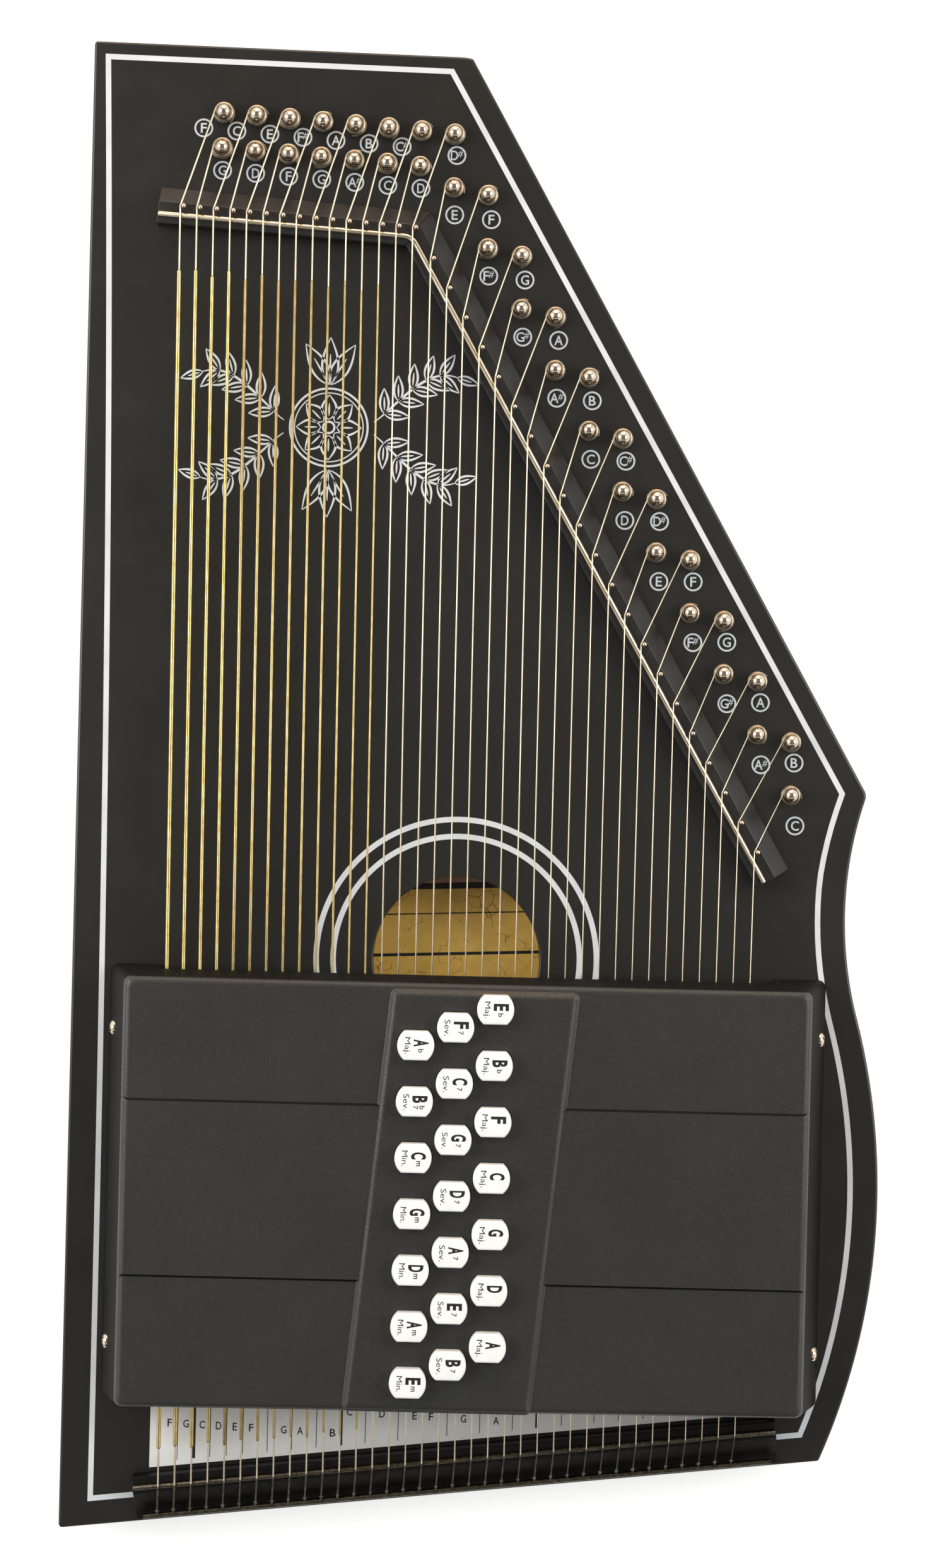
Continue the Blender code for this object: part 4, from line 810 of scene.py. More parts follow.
def set_out_tree():
    """A copy of a shape on every point, each turned about Z by a chance amount."""
    tree, given = new_group("set_out_on_points", Shape="Object", Most_Turn="Float",
                            Size_Spread="Float", Seed="Int", Finish="Material")
    shape = add(tree, "GeometryNodeObjectInfo", Object=given["Shape"]).outputs["Geometry"]
    turn = add(tree, "FunctionNodeRandomValue", _2=0.0, _3=given["Most Turn"],
               Seed=given["Seed"]).outputs[1]
    angles = add(tree, "ShaderNodeCombineXYZ", Z=turn).outputs[0]
    size = add(tree, "FunctionNodeRandomValue", Seed=given["Seed"], _3=1.0,
               _2=maths(tree, "SUBTRACT", 1.0, given["Size Spread"])).outputs[1]
    copies = add(tree, "GeometryNodeInstanceOnPoints", Points=given["Geometry"], Instance=shape,
                 Rotation=angles, Scale=size).outputs[0]
    return end_group(tree, copies, given["Finish"])


def wire_tree():
    """Round wire along curves, as thick as each point's radius says.

    A pitch above zero gives it turns of winding: every second point is a groove."""
    tree, given = new_group("drawn_wire", Sides="Int", Pitch="Float", Groove="Float",
                            Finish="Material")
    fine = add(tree, "GeometryNodeResampleCurve", {"mode": "LENGTH"}, Curve=given["Geometry"],
               Length=maths(tree, "MULTIPLY", given["Pitch"], 0.5)).outputs[0]
    wound = maths(tree, "GREATER_THAN", given["Pitch"], 0.0)
    route = add(tree, "GeometryNodeSwitch", {"input_type": "GEOMETRY"}, _0=wound,
                _1=given["Geometry"], _2=fine).outputs[0]
    odd = maths(tree, "MODULO", add(tree, "GeometryNodeInputIndex").outputs[0], 2.0)
    keep = maths(tree, "SUBTRACT", 1.0, maths(tree, "MULTIPLY", odd, given["Groove"]))
    size = maths(tree, "MULTIPLY", add(tree, "GeometryNodeInputRadius").outputs[0], keep)
    ring = add(tree, "GeometryNodeCurvePrimitiveCircle", Radius=1.0,
               Resolution=given["Sides"]).outputs[0]
    tube = add(tree, "GeometryNodeCurveToMesh", Curve=route, Profile_Curve=ring, Scale=size,
               Fill_Caps=True).outputs[0]
    return end_group(tree, tube, given["Finish"])


def grown(source, tree, **values):
    """The plain mesh that a node group makes from a curve or points object."""
    modifier = source.modifiers.new("grown", "NODES")
    modifier.node_group = tree
    for item in tree.interface.items_tree:
        label = item.name.replace(" ", "_")
        if item.in_out == "INPUT" and label in values:
            modifier[item.identifier] = values[label]
    return evaluated_mesh(source)


SET_OUT = set_out_tree()
WIRE = wire_tree()


def set_out(name, shape, places, finish, spread=0.0):
    """A piece made of one shape at many places, each turned by chance."""
    source = new_object("shape", shape)
    points = bpy.data.meshes.new("points")
    points.from_pydata(places, [], [])
    mesh = grown(new_object("points", points), SET_OUT, Shape=source, Most_Turn=math.tau,
                 Size_Spread=spread, Seed=7, Finish=MATERIALS[finish])
    bpy.data.objects.remove(source, do_unlink=True)
    piece_from(name, weld(mesh, 0.0005 * MM), finish)


def wire_mesh(routes, sides, finish, pitch=0.0, groove=0.0):
    """Round wire along routes of (x, y, z, radius)."""
    curve = bpy.data.curves.new("routes", "CURVE")
    curve.dimensions = "3D"
    curve.twist_mode = "Z_UP"
    for route in routes:
        spline = curve.splines.new("POLY")
        spline.points.add(len(route) - 1)
        for point, (x, y, z, radius) in zip(spline.points, route):
            point.co = (x, y, z, 1.0)
            point.radius = radius
    return grown(new_object("routes", curve), WIRE, Sides=sides, Pitch=pitch, Groove=groove,
                 Finish=MATERIALS[finish])


# Body


def cavity_outline():
    """The hollow between the blocks and the rails."""
    head = shifted(HEAD_EDGE, PIN_BLOCK_HEAD_WIDTH)
    slant = shifted(SLANT_EDGE, PIN_BLOCK_SLANT_WIDTH)
    bass = shifted(BASS_EDGE, RAIL_WIDTH)
    tail = shifted(TAIL_EDGE, TAIL_BLOCK_WIDTH)
    foot = SHOULDER_Y - PIN_BLOCK_BELOW_SHOULDER
    low = halve(TAIL_Y, BELLY_Y, lambda y: line_x(tail, y) < side_x(y, RAIL_WIDTH))
    return ([meeting(head, bass), meeting(tail, bass)]
            + side_curve(low, foot, 32, RAIL_WIDTH)
            + [(line_x(slant, foot), foot), meeting(slant, head)])


def build_body():
    """One closed shell: lacquered outside, bare wood inside, with the sound hole."""
    finishes = ["lacquer", "maple", "ply"]
    profile = quarter(EDGE_RADIUS, 0.0, upwards=False)
    for z in (BACK_THICKNESS + GAP / 2, BOARD_BOTTOM - GAP / 2):
        profile += [(0.0, z - SEAM), (SEAM, z), (0.0, z + SEAM)]
    profile += quarter(EDGE_RADIUS, BOARD_TOP - EDGE_RADIUS)
    shell = stacked(body_outline(), profile)
    cavity = slab(cavity_outline(), BACK_THICKNESS, BOARD_BOTTOM, slot=1)
    for mesh, names in ((shell, finishes), (cavity, ["maple", "maple"])):
        for name in names:
            mesh.materials.append(MATERIALS[name])
    rim = [(HOLE_EDGE, BOARD_TOP + 2 * MM), (HOLE_EDGE, BOARD_TOP),
           (HOLE_EDGE * 0.4, BOARD_TOP - HOLE_EDGE * 0.25), (0.0, BOARD_TOP - HOLE_EDGE),
           (0.0, BOARD_BOTTOM - 1 * MM)]
    hole = loft([lifted(circle(SOUND_HOLE, SOUND_HOLE_RADIUS + out, 96), z) for out, z in rim])
    mesh = boolean("DIFFERENCE", shell, cavity, hole)
    for face in mesh.polygons:
        if face.material_index == 1 and abs(face.center.z - BACK_THICKNESS) < 0.1 * MM:
            face.material_index = 2
    piece = piece_from("body_shell", mesh, finishes,
                       node=["soundboard", "back_panel", "pin_block", "tail_block", "bass_rail",
                             "treble_rail"], angle=30)


def border_outline():
    """The outer edge of the white line that runs round the soundboard, as it was measured."""
    left = []
    for share in shares(24):
        y = 284.0 - 562.3 * share
        bow = max((y + 280.0) / 560.0, 0.0) ** 2.6
        left.append(mm(-146.5 - 6.6 * bow, y))
    low, corner = -246.7 * MM, mm(141.1, 3.65)
    right = []
    for share in shares(40):
        y = low + (corner[1] - low) * share
        out = max((y + 30 * MM) / (corner[1] + 30 * MM), 0.0)
        right.append((side_x(y, (9.8 - 1.5 * out) * MM), y))
    right[-1] = corner
    return left + right + [mm(-17.8, 281.4)]


def build_lines():
    """White line round the board, and two rings round the sound hole."""
    outer = border_outline()
    meshes = [painted_band(outer, inset(outer, LINE_WIDTH))]
    meshes += [painted_ring(SOUND_HOLE, radius, LINE_WIDTH, 120) for radius in RING_RADII]
    piece_from("white_lines", joined(meshes), "white")


def text_mesh(words, wide, tall, place, bold=0.0, slant=0.0, thick=EPS):
    """Flat lettering about a place, of a given width and height, as a closed mesh."""
    curve = bpy.data.curves.new("words", "FONT")
    curve.body = words
    curve.size = tall * FONT_RATIO
    curve.offset = bold
    curve.extrude = thick
    curve.shear = slant
    curve.resolution_u = 3
    mesh = weld(evaluated_mesh(new_object("words", curve)))
    xs = [v.co.x for v in mesh.vertices]
    ys = [v.co.y for v in mesh.vertices]
    middle = Vector(((min(xs) + max(xs)) / 2, (min(ys) + max(ys)) / 2, 0.0))
    size = Matrix.Diagonal((wide / (max(xs) - min(xs)), tall / (max(ys) - min(ys)), 1.0, 1.0))
    mesh.transform(Matrix.Translation(place) @ size @ Matrix.Translation(-middle))
    return mesh


def label_places():
    """Where the note names stand on the soundboard, with their string numbers, as measured."""
    # Numbers, the first one's place and the step to the next, in millimetres
    rows = ((range(0, 14, 2), (-114.4, 256.1), (12.87, -0.9)),
            (range(1, 14, 2), (-106.7, 239.8), (12.87, -0.85)),
            (range(14, 15), (-15.8, 247.8), (0.0, 0.0)),
            (range(15, 36, 2), (-16.1, 224.7), (13.8, -23.4)),
            (range(16, 36, 2), (-1.8, 223.2), (13.64, -23.12)))
    for numbers, start, step in rows:
        for count, number in enumerate(numbers):
            yield number, mm(*plus(start, step, count))


def build_note_names():
    """Each string's note in a white ring beside its tuning pin, with a small slanted sharp."""
    meshes = []
    # Widths of the letters in millimetres
    widths = {"A": 3.3, "G": 3.2, "C": 3.1, "D": 2.9, "B": 2.7, "E": 2.4, "F": 2.3}
    for number, (x, y) in label_places():
        meshes.append(painted_ring((x, y), NAME_RING, NAME_LINE, 40))
        letter, sharp = NOTES[number][0], NOTES[number][1:]
        wide = widths[letter] * MM
        if sharp:
            x -= 0.95 * MM
            place = (x + wide / 2 + 0.85 * MM, y + 0.6 * MM, BOARD_TOP)
            meshes.append(text_mesh(sharp, *mm(2.0, 2.6), place, slant=0.2))
        meshes.append(text_mesh(letter, wide, NAME_HEIGHT, (x, y, BOARD_TOP), bold=0.07 * MM))
    piece_from("note_names", joined(meshes), "faded_white")


def stroke(points, width):
    """A painted line along points, tapering to both ends."""
    left, right = [], []
    last = len(points) - 1
    for index, point in enumerate(points):
        way = Vector(points[min(index + 1, last)]) - Vector(points[max(index - 1, 0)])
        side = Vector((-way.y, way.x)).normalized()
        half = width / 2 * (0.35 + 0.65 * math.sin(math.pi * index / last))
        left.append(tuple(Vector(point) + side * half))
        right.append(tuple(Vector(point) - side * half))
    return painted(right + left[::-1])


def leaf(foot, angle, length, broad=0.34):
    """A painted leaf: two bowed lines from its foot to its tip, and a short rib."""
    strokes = []
    for side in (1, -1):
        line = [along(along(foot, angle, length * t), angle + side * math.pi / 2,
                      broad * length * math.sin(math.pi * t ** 0.8) / 2) for t in shares(12)]
        strokes.append(stroke(line, 0.85 * MM))
    rib = [along(foot, angle, length * (0.15 + 0.5 * share)) for share in shares(4)]
    return strokes + [stroke(rib, 0.7 * MM)]


def sprig(centre, side, up):
    """A bowed stem with pairs of leaves and one at its tip."""
    stem = [plus(centre, mm(side * (17.5 + 32.0 * t),
                            up * (2.5 + 30.0 * math.sin(math.pi / 2 * t ** 1.1) - 12.0 * t)))
            for t in shares(24)]
    meshes = [stroke(stem, 1.0 * MM)]
    for index in (3, 7, 11, 15, 19, 23):
        (ax, ay), (bx, by) = stem[index], stem[index + 1]
        way = math.atan2(by - ay, bx - ax)
        if index == 23:
            meshes += leaf(stem[24], way, 9.0 * MM)
        else:
            meshes += leaf(stem[index], way + 0.85, 10.0 * MM)
            meshes += leaf(stem[index], way - 0.85, 10.0 * MM)
    return meshes


def build_ornament():
    """A painted flower in two rings between a pair of leafy sprigs, white on the board."""
    centre = mm(-63.0, 141.0)
    meshes = [painted_ring(centre, *mm(radius, width), 64)
              for radius, width in ((15.5, 0.8), (13.6, 0.45), (2.6, 0.8))]
    for petal in range(8):
        angle = math.tau * petal / 8
        meshes += leaf(along(centre, angle, 3.1 * MM), angle, 9.6 * MM, 0.6)
    for up in (1, -1):
        meshes += sprig(centre, 1, up) + sprig(centre, -1, up)
        for angle in (0.0, 0.55, -0.55):
            meshes += leaf(along(centre, math.pi / 2 * up, 16.5 * MM), math.pi / 2 * up + angle,
                           18.5 * MM)
    piece_from("painted_ornament", joined(meshes), "white")


def build_label():
    """Paper label on the back, seen through the sound hole, with plain rules."""
    def printed(low, high, bottom, top):
        strip = slab(rectangle(-LABEL_HALF, LABEL_HALF, low, high), bottom, top)
        strip.transform(Matrix.Translation((SOUND_HOLE[0], LABEL_Y, BACK_THICKNESS))
                        @ Matrix.Rotation(LABEL_TURN, 4, "Z"))
        return strip

    piece_from("label_paper", printed(*mm(-42.0, 27.5), -EPS, 0.15 * MM), "paper")
    rules = [printed(*mm(y - half, y + half, 0.14, 0.17))
             for y, half in ((26.4, 1.2), (15.5, 0.25), (-0.6, 0.6), (-33.0, 0.6))]
    piece_from("label_rules", joined(rules), "ink")


# Bridges and rods


def seated(corners, radii):
    """A bridge's section, as offset and height, with the groove for its rod in the flat top."""
    outline = softened(corners, radii, 4)
    axis, radius = ROD_TOP - ROD_RADIUS, ROD_RADIUS + GAP / 3
    reach = math.acos((axis - SEAT_TOP) / radius)
    turns = [-reach + 2 * reach * share for share in shares(8)]
    cut = next(i for i, p in enumerate(outline) if p[0] > 0)
    return (outline[:cut] + [(radius * math.sin(a), axis - radius * math.cos(a)) for a in turns]
            + outline[cut:])


def bridge_section():
    """Section of the head and treble bridges: flat top, ridge, and a wide sloping back face."""
    return seated([(-BRIDGE_FRONT, BRIDGE_FOOT), (-BRIDGE_FRONT, SEAT_TOP),
                   (RIDGE_OFFSET, SEAT_TOP), (BRIDGE_BACK, BACK_HEIGHT),
                   (BRIDGE_BACK, BRIDGE_FOOT)], mm(0.0, 0.4, 0.5, 0.4, 0.0))


def tail_section():
    """Section of the tail bridge, as offset towards the head and height."""
    tail = -TAIL_SADDLE_FROM_EDGE + 1.35 * MM
    flange = GAP + FLANGE_THICKNESS
    return seated([(tail, BRIDGE_FOOT), (tail, flange), (-TAIL_SLOPE_END, flange),
                   (-TAIL_STRIP, SEAT_TOP), (TAIL_BRIDGE_FRONT, SEAT_TOP),
                   (TAIL_BRIDGE_FRONT, BRIDGE_FOOT)], mm(0.0, 0.3, 0.8, 0.4, 0.5, 0.0))


def extruded(section, start, angle, length, outward):
    """A bar of one section along the soundboard, with softened ends."""
    run = Vector((math.cos(angle), math.sin(angle), 0.0))
    across = Vector((math.cos(outward), math.sin(outward), 0.0))
    low = min(z for _, z in section)
    rings = []
    for reach, back in ((0.0, END_BEVEL), (END_BEVEL, 0.0), (length - END_BEVEL, 0.0),
                        (length, END_BEVEL)):
        ring = []
        for offset, z in section:
            lowered = z - back * (z - low) / (SEAT_TOP - low)
            ring.append(Vector((*start, BOARD_TOP + lowered)) + run * reach + across * offset)
        rings.append(ring)
    return loft(rings)


def mitred(mesh, point, away):
    """Cut a bar off square to the plan along a plane, and close the end."""
    shape = opened(mesh)
    geometry = shape.verts[:] + shape.edges[:] + shape.faces[:]
    cut = bmesh.ops.bisect_plane(shape, geom=geometry, plane_co=(*point, 0.0),
                                 plane_no=(*away, 0.0), clear_outer=True)
    rim = [item for item in cut["geom_cut"] if isinstance(item, bmesh.types.BMEdge)]
    bmesh.ops.edgeloop_fill(shape, edges=rim)
    return closed(shape, mesh)


def build_bridges():
    """Moulded bridges. Head and treble bridge meet in a mitre."""
    split = (HEAD_RUN + SLANT_RUN + math.pi * 2) / 2
    across = Vector((-math.sin(split), math.cos(split)))
    to_head = across if across.x < 0 else -across
    reach = BRIDGE_BACK * 2
    for name, run, length, outward, side in (
            ("head_bridge", HEAD_RUN, HEAD_RUN_LENGTH, -math.pi / 2, to_head),
            ("treble_bridge", SLANT_RUN, SLANT_RUN_LENGTH, math.pi / 2, -to_head)):
        bar = extruded(bridge_section(), along(BEND, run, -reach), run,
                       length + reach + BAR_OVERHANG, run + outward)
        mitred(bar, Vector(BEND) + side * MITRE_GAP, -side)
        piece_from(f"{name}_moulding", bar, "abs", node=name)
    # The tail bridge takes the darker matte ABS: painted shade
    tail = extruded(tail_section(), along(TAIL_RUN_START, TAIL_SLOPE, -BAR_OVERHANG), TAIL_SLOPE,
                    TAIL_RUN_LENGTH + 2 * BAR_OVERHANG, TAIL_SLOPE + math.pi / 2)
    piece_from("tail_bridge_moulding", tail, "dull_abs", node="tail_bridge")


def build_rod(name, points, finish, node):
    """A saddle rod along points in the plan, its ends a little rounded."""
    radius = ROD_RADIUS - PIECE_TRIM
    points = [Vector((*point, BOARD_TOP + ROD_TOP - ROD_RADIUS)) for point in points]
    ends = []
    for tip, inner in ((points[0], points[1]), (points[-1], points[-2])):
        way = (inner - tip).normalized()
        ends.append([(*(tip + way * radius * back), radius * size)
                     for back, size in ((0.0, 0.75), (0.12, 0.93), (0.3, 1.0))])
    route = ends[0] + [(*point, radius) for point in points[1:-1]] + ends[1][::-1]
    piece_from(name, wire_mesh([route], 20, finish), finish, node=node)


def build_rods():
    """The saddle rod of the head and treble bridges in one bent length, and the tail rod."""
    bend = bend_through(along(BEND, HEAD_RUN, 3 * MM), BEND, along(BEND, SLANT_RUN, 3 * MM), 8)
    build_rod("saddle_rod", [along(BEND, HEAD_RUN, HEAD_RUN_LENGTH), *bend,
                             along(BEND, SLANT_RUN, SLANT_RUN_LENGTH)], "rod",
              ["head_saddle_rod", "treble_saddle_rod"])
    build_rod("tail_rod", [along(TAIL_RUN_START, TAIL_SLOPE, TAIL_RUN_LENGTH * share)
                           for share in shares(2)], "old_rod", "tail_saddle_rod")


def build_guide_pins():
    """Small round-headed pins in the bridges, one to a string."""
    shank, head, foot = 0.65 * MM, 0.95 * MM, SEAT_TOP - 1.5 * MM
    pin = [(0.0, foot), (shank, foot), (shank, GUIDE_TOP - 1.7 * MM)]
    pin += domed(head, head, GUIDE_TOP - head, 7, -0.4)
    places = [(*guide_place(number), BOARD_TOP) for number in range(STRING_COUNT)]
    set_out("guide_pins", lathe(pin, 16), places, "nickel")


# Strings


def wrap_size(number):
    """Radius over a winding: half of 1.72 mm on the lowest string, 0.8 mm on the highest."""
    share = number / (WOUND_STRINGS - 1)
    return (1.72 - 0.92 * share ** 0.8) / 2 * MM


def wire_size(number):
    """Radius of the bare wire that is seen."""
    return core_radius(number) + 0.05 * MM * (1 - number / STRING_COUNT)


def wrap_route(number):
    """A string's winding, whose ends differ a little from string to string."""
    odd = math.sin(number * 2.7) * 1.6 * MM
    high = string_guide_point(number)[1] - WRAP_TO_GUIDE + odd
    low = string_tail_point(number)[1] + WRAP_TO_TAIL + odd / 2
    size, core = wrap_size(number), core_radius(number)
    return [(string_x(number, y), y, STRING_Z, radius) for y, radius in
            ((high, core), (high - 0.5 * MM, size), (low + 0.5 * MM, size), (low, core))]


def string_route(number):
    """A string from the coil on its pin, past its guide, to the anchor rod."""
    core = wire_size(number)
    pin, guide, tail = pin_place(number), string_guide_point(number), string_tail_point(number)
    way = math.atan2(guide[1] - pin[1], guide[0] - pin[0])
    route = []
    turns = COIL_TURNS + 0.3 * math.sin(number * 1.9)
    for share in shares(64):
        back = turns * (1 - share)
        around = PIN_RADIUS + core * 0.9 + COIL_SPREAD * back
        around += LOOSE_REACH * max(back - turns + LOOSE_END, 0.0) / LOOSE_END
        x, y = along(pin, way - math.pi / 2 - back * math.tau, around)
        route.append((x, y, BOARD_TOP + COIL_HEIGHT - back * COIL_RISE, core))
    route += [(*guide, STRING_Z, core), (*tail, STRING_Z, core)]
    down = ANCHOR_BACK / math.cos(TAIL_SLOPE + END_TURN)
    for share in (0.12, 0.3, 0.93):
        x, y = along(tail, -math.pi / 2 - END_TURN, down * share)
        route.append((x, y, STRING_Z - (STRING_Z - ANCHOR_Z - ROD_RADIUS) * share, core))
    return route


def build_strings():
    """Steel strings with coils on their pins, and brass windings on the bass strings."""
    wires = wire_mesh([string_route(number) for number in range(STRING_COUNT)], 8, "wire")
    for face in wires.polygons:
        reach = Vector(face.center.xy) - Vector(FIRST_AT_TAIL)
        # Past the tail saddle the wire is painted darker, as painted shade
        behind = reach.y * math.cos(TAIL_SLOPE) < reach.x * math.sin(TAIL_SLOPE)
        # The coil turns under each pin's head are painted darker, as painted shade
        coiled = face.center.z < BOARD_TOP + COIL_HEIGHT - 0.2 * MM
        face.material_index = 1 if behind else 2 if coiled else 0
    piece_from("steel_strings", wires, ["wire", "shaded_wire", "coil"],
               node="strings_and_tuning_pins", angle=80)
    for name, numbers, finish, pitch, groove, sides in (
            ("thick_windings", range(0, 4), "wrap", 0.75 * MM, 0.12, 10),
            ("thin_windings", range(4, WOUND_STRINGS), "fine_wrap", 0.0, 0.0, 12)):
        wraps = [wrap_route(number) for number in numbers]
        piece_from(name, wire_mesh(wraps, sides, finish, pitch, groove), finish, angle=80)


def build_anchor():
    """The threaded rod that the strings hook on, and the bead at each string's end."""
    start = along(along(TAIL_RUN_START, TAIL_SLOPE, ANCHOR_SHORT), TAIL_SLOPE - math.pi / 2,
                  ANCHOR_BACK)
    end = along(start, TAIL_SLOPE, TAIL_RUN_LENGTH - 2 * ANCHOR_SHORT)
    route = [(*point, ANCHOR_Z, ROD_RADIUS) for point in (start, end)]
    piece_from("anchor_rod", wire_mesh([route], 16, "old_rod", 1.1 * MM, 0.07), "old_rod")
    bead = [mm(0.0, -0.7), mm(0.6, -0.5), mm(0.85, 0.0), mm(0.6, 0.5), mm(0.0, 0.7)]
    places = [(*along(string_tail_point(number), -math.pi / 2 - END_TURN,
                      ANCHOR_BACK - 1.7 * MM), ANCHOR_Z + 1.1 * MM)
              for number in range(STRING_COUNT)]
    set_out("string_beads", lathe(bead, 12), places, "nickel", spread=0.15)


def build_tuning_pins():
    """Round-headed tuning pins. The strings are coiled round them just below the head."""
    radius, rise = PIN_RADIUS - PIECE_TRIM, 3.1 * MM
    foot, neck = BOARD_TOP - 20 * MM, BOARD_TOP + PIN_TOP - rise
    profile = [(0.0, foot), (radius, foot), (radius, neck)] + domed(radius, rise, neck, 12)
    places = [(*pin_place(number), 0.0) for number in range(STRING_COUNT)]
    set_out("tuning_pins", lathe(profile, 40), places, "nickel")


# Chord bars, buttons and cover


def button_middle(number):
    low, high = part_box(f"chord_button_{number + 1:02d}")
    return (low.x + high.x) / 2, (low.y + high.y) / 2


def button_shape(x, y):
    """A disc with two flats, as a function of the inset, with its four corners softened."""
    def shape(back):
        radius, flat = BUTTON_RADIUS - back, BUTTON_HALF - back
        reach = math.asin(flat / radius)
        half = [(radius * math.cos(reach * a / 10), radius * math.sin(reach * a / 10))
                for a in range(-10, 11)]
        radii = [0.3 * MM if abs(a) == 10 else 0.0 for a in range(-10, 11)] * 2
        outline = softened(half + [(-a, -b) for a, b in half], radii, 3)
        return [(x + a, y + b) for a, b in outline]
    return shape


def build_button(number):
    """A white cap with its chord printed on it."""
    tag = f"{number + 1:02d}"
    low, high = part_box(f"chord_button_{tag}")
    x, y = button_middle(number)
    top, cap_low = high.z - BUTTON_TRIM, BOARD_TOP + BAR_TOP + BUTTON_LIFT
    profile = [(CAP_CHAMFER, cap_low), (0.0, cap_low + CAP_CHAMFER)]
    cap = stacked(button_shape(x, y), profile + quarter(CAP_EDGE, top - CAP_EDGE))
    stem = box_mesh((*plus((x, y), STEM_HALF, -1), low.z),
                    (*plus((x, y), STEM_HALF), cap_low + 1 * MM))
    piece = piece_from(f"button_cap_{tag}", joined([cap, stem]), "button", f"bar_{tag}",
                       f"chord_button_{tag}")
    letters = chord_lettering(CHORDS[number])
    letters.transform(Matrix.Translation((x, y, top + 0.01 * MM))
                      @ Matrix.Rotation(-math.pi / 2, 4, "Z"))
    piece_from(f"button_print_{tag}", letters, "ink", f"bar_{tag}")


def chord_lettering(chord):
    """A bold letter with its small sign beside it, and the kind of chord below."""
    name, kind = chord.split()
    # In millimetres: width and height, then how far across and up from the cap's middle
    kinds = {"Maj.": (6.3, 2.75, 0.0, -3.35), "Min.": (5.9, 2.2, 0.0, -3.1),
             "Sev.": (6.1, 2.2, 0.0, -3.1)}
    signs = {"b": (1.35, 2.0), "7": (1.3, 1.9), "m": (2.0, 1.5)}
    places = ((), ((1.85, 2.0),), ((1.95, 3.0), (1.95, 0.5)))[len(name) - 1]
    parts = [(name[0], 0.3, 2.7, 5.7, -1.05, 2.1)]
    parts += [(sign, 0.03, *signs[sign], *place) for sign, place in zip(name[1:], places)]
    parts.append((kind, 0.0, *kinds[kind]))
    meshes = []
    for words, bold, *sizes in parts:
        wide, tall, right, up = mm(*sizes)
        meshes.append(text_mesh(words, wide, tall, (right, up, 0.0), bold * MM, thick=EPS / 2))
    return joined(meshes)


def free_strings(number):
    """The strings that a chord bar leaves free: those whose note is in its chord."""
    name = CHORDS[number].split()[0]
    root = PITCH_CLASSES.index(name[0]) - (1 if "b" in name else 0)
    kind = "7" if "7" in name else "m" if "m" in name else ""
    tones = {(root + tone) % 12 for tone in CHORD_TONES[kind]}
    return [n for n in range(STRING_COUNT) if PITCH_CLASSES.index(NOTES[n]) in tones]


def felt_runs(number, left, right, y):
    """Stretches of felt between the strings that a chord leaves free."""
    runs, start = [], left
    for string in free_strings(number):
        x = string_x(string, y)
        if x - FELT_GAP - start > SHORTEST_FELT:
            runs.append((start, x - FELT_GAP))
        start = max(start, x + FELT_GAP)
    if right - start > SHORTEST_FELT:
        runs.append((start, right))
    return runs


def build_bar(number):
    """A chord bar, and its felt with a gap over each string of the chord."""
    tag = f"{number + 1:02d}"
    low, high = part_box(f"chord_bar_{tag}")
    y = (low.y + high.y) / 2
    left, right = low.x + TONGUE_LENGTH, high.x - TONGUE_LENGTH
    bottom, top = BOARD_TOP + BAR_BOTTOM, BOARD_TOP + BAR_TOP
    outline = softened(rectangle(-BAR_HALF, BAR_HALF, bottom, top), 0.4 * MM, 3)
    tongue = softened(rectangle(-TONGUE_HALF, TONGUE_HALF, bottom + TONGUE_STEP,
                                top - TONGUE_STEP), 0.4 * MM, 3)
    rings = [[(x, y + a, z) for a, z in section] for x, section in
             ((low.x, tongue), (left, tongue), (left, outline), (right, outline),
              (right, tongue), (high.x, tongue))]
    piece = piece_from(f"bar_{tag}_rail", loft(rings), "bar", f"bar_{tag}", f"chord_bar_{tag}")
    profile = [(0.25 * MM, low.z), (0.0, low.z + 0.4 * MM), (0.0, bottom + 0.05 * MM)]
    pads = [stacked(softened(rectangle(start, end, y - FELT_HALF, y + FELT_HALF), 0.3 * MM, 2),
                    profile)
            for start, end in felt_runs(number, left + 1 * MM, right - 1 * MM, y)]
    piece_from(f"bar_{tag}_felt", joined(pads), "felt", f"bar_{tag}")


COVER_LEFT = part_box("bass_bar_holder")[1].x - 11.3 * MM
COVER_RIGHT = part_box("treble_bar_holder")[0].x + 11.3 * MM
COVER_LOW, COVER_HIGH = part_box("bar_cover")
FOOT_SHARE = 1.0 - GAP / COVER_TOP
COVER_TAIL = COVER_LOW.y + END_LEAN * FOOT_SHARE - TAIL_SHIFT
COVER_HEAD = COVER_HIGH.y - END_LEAN * FOOT_SHARE
COVER_MIDDLE = (button_middle(0)[1] + button_middle(BAR_COUNT - 1)[1]) / 2


def cover_ring(height, side=0.0, end=0.0, corner=3.0 * MM, low=None, high=None):
    """The cover's outline at a height above the soundboard, inset at sides and ends."""
    spread = 1.0 - height / COVER_TOP
    sides = SIDE_LEAN_OUT * spread - side
    ends = END_LEAN * spread - end
    box = rectangle(COVER_LEFT - sides, COVER_RIGHT + sides,
                    COVER_TAIL - ends if low is None else low + end,
                    COVER_HEAD + ends if high is None else high - end)
    if low is None:
        box[:2] = [(box[0][0], box[0][1] - TAIL_SKEW), (box[1][0], box[1][1] + TAIL_SKEW)]
    return lifted(softened(box, corner), BOARD_TOP + height)


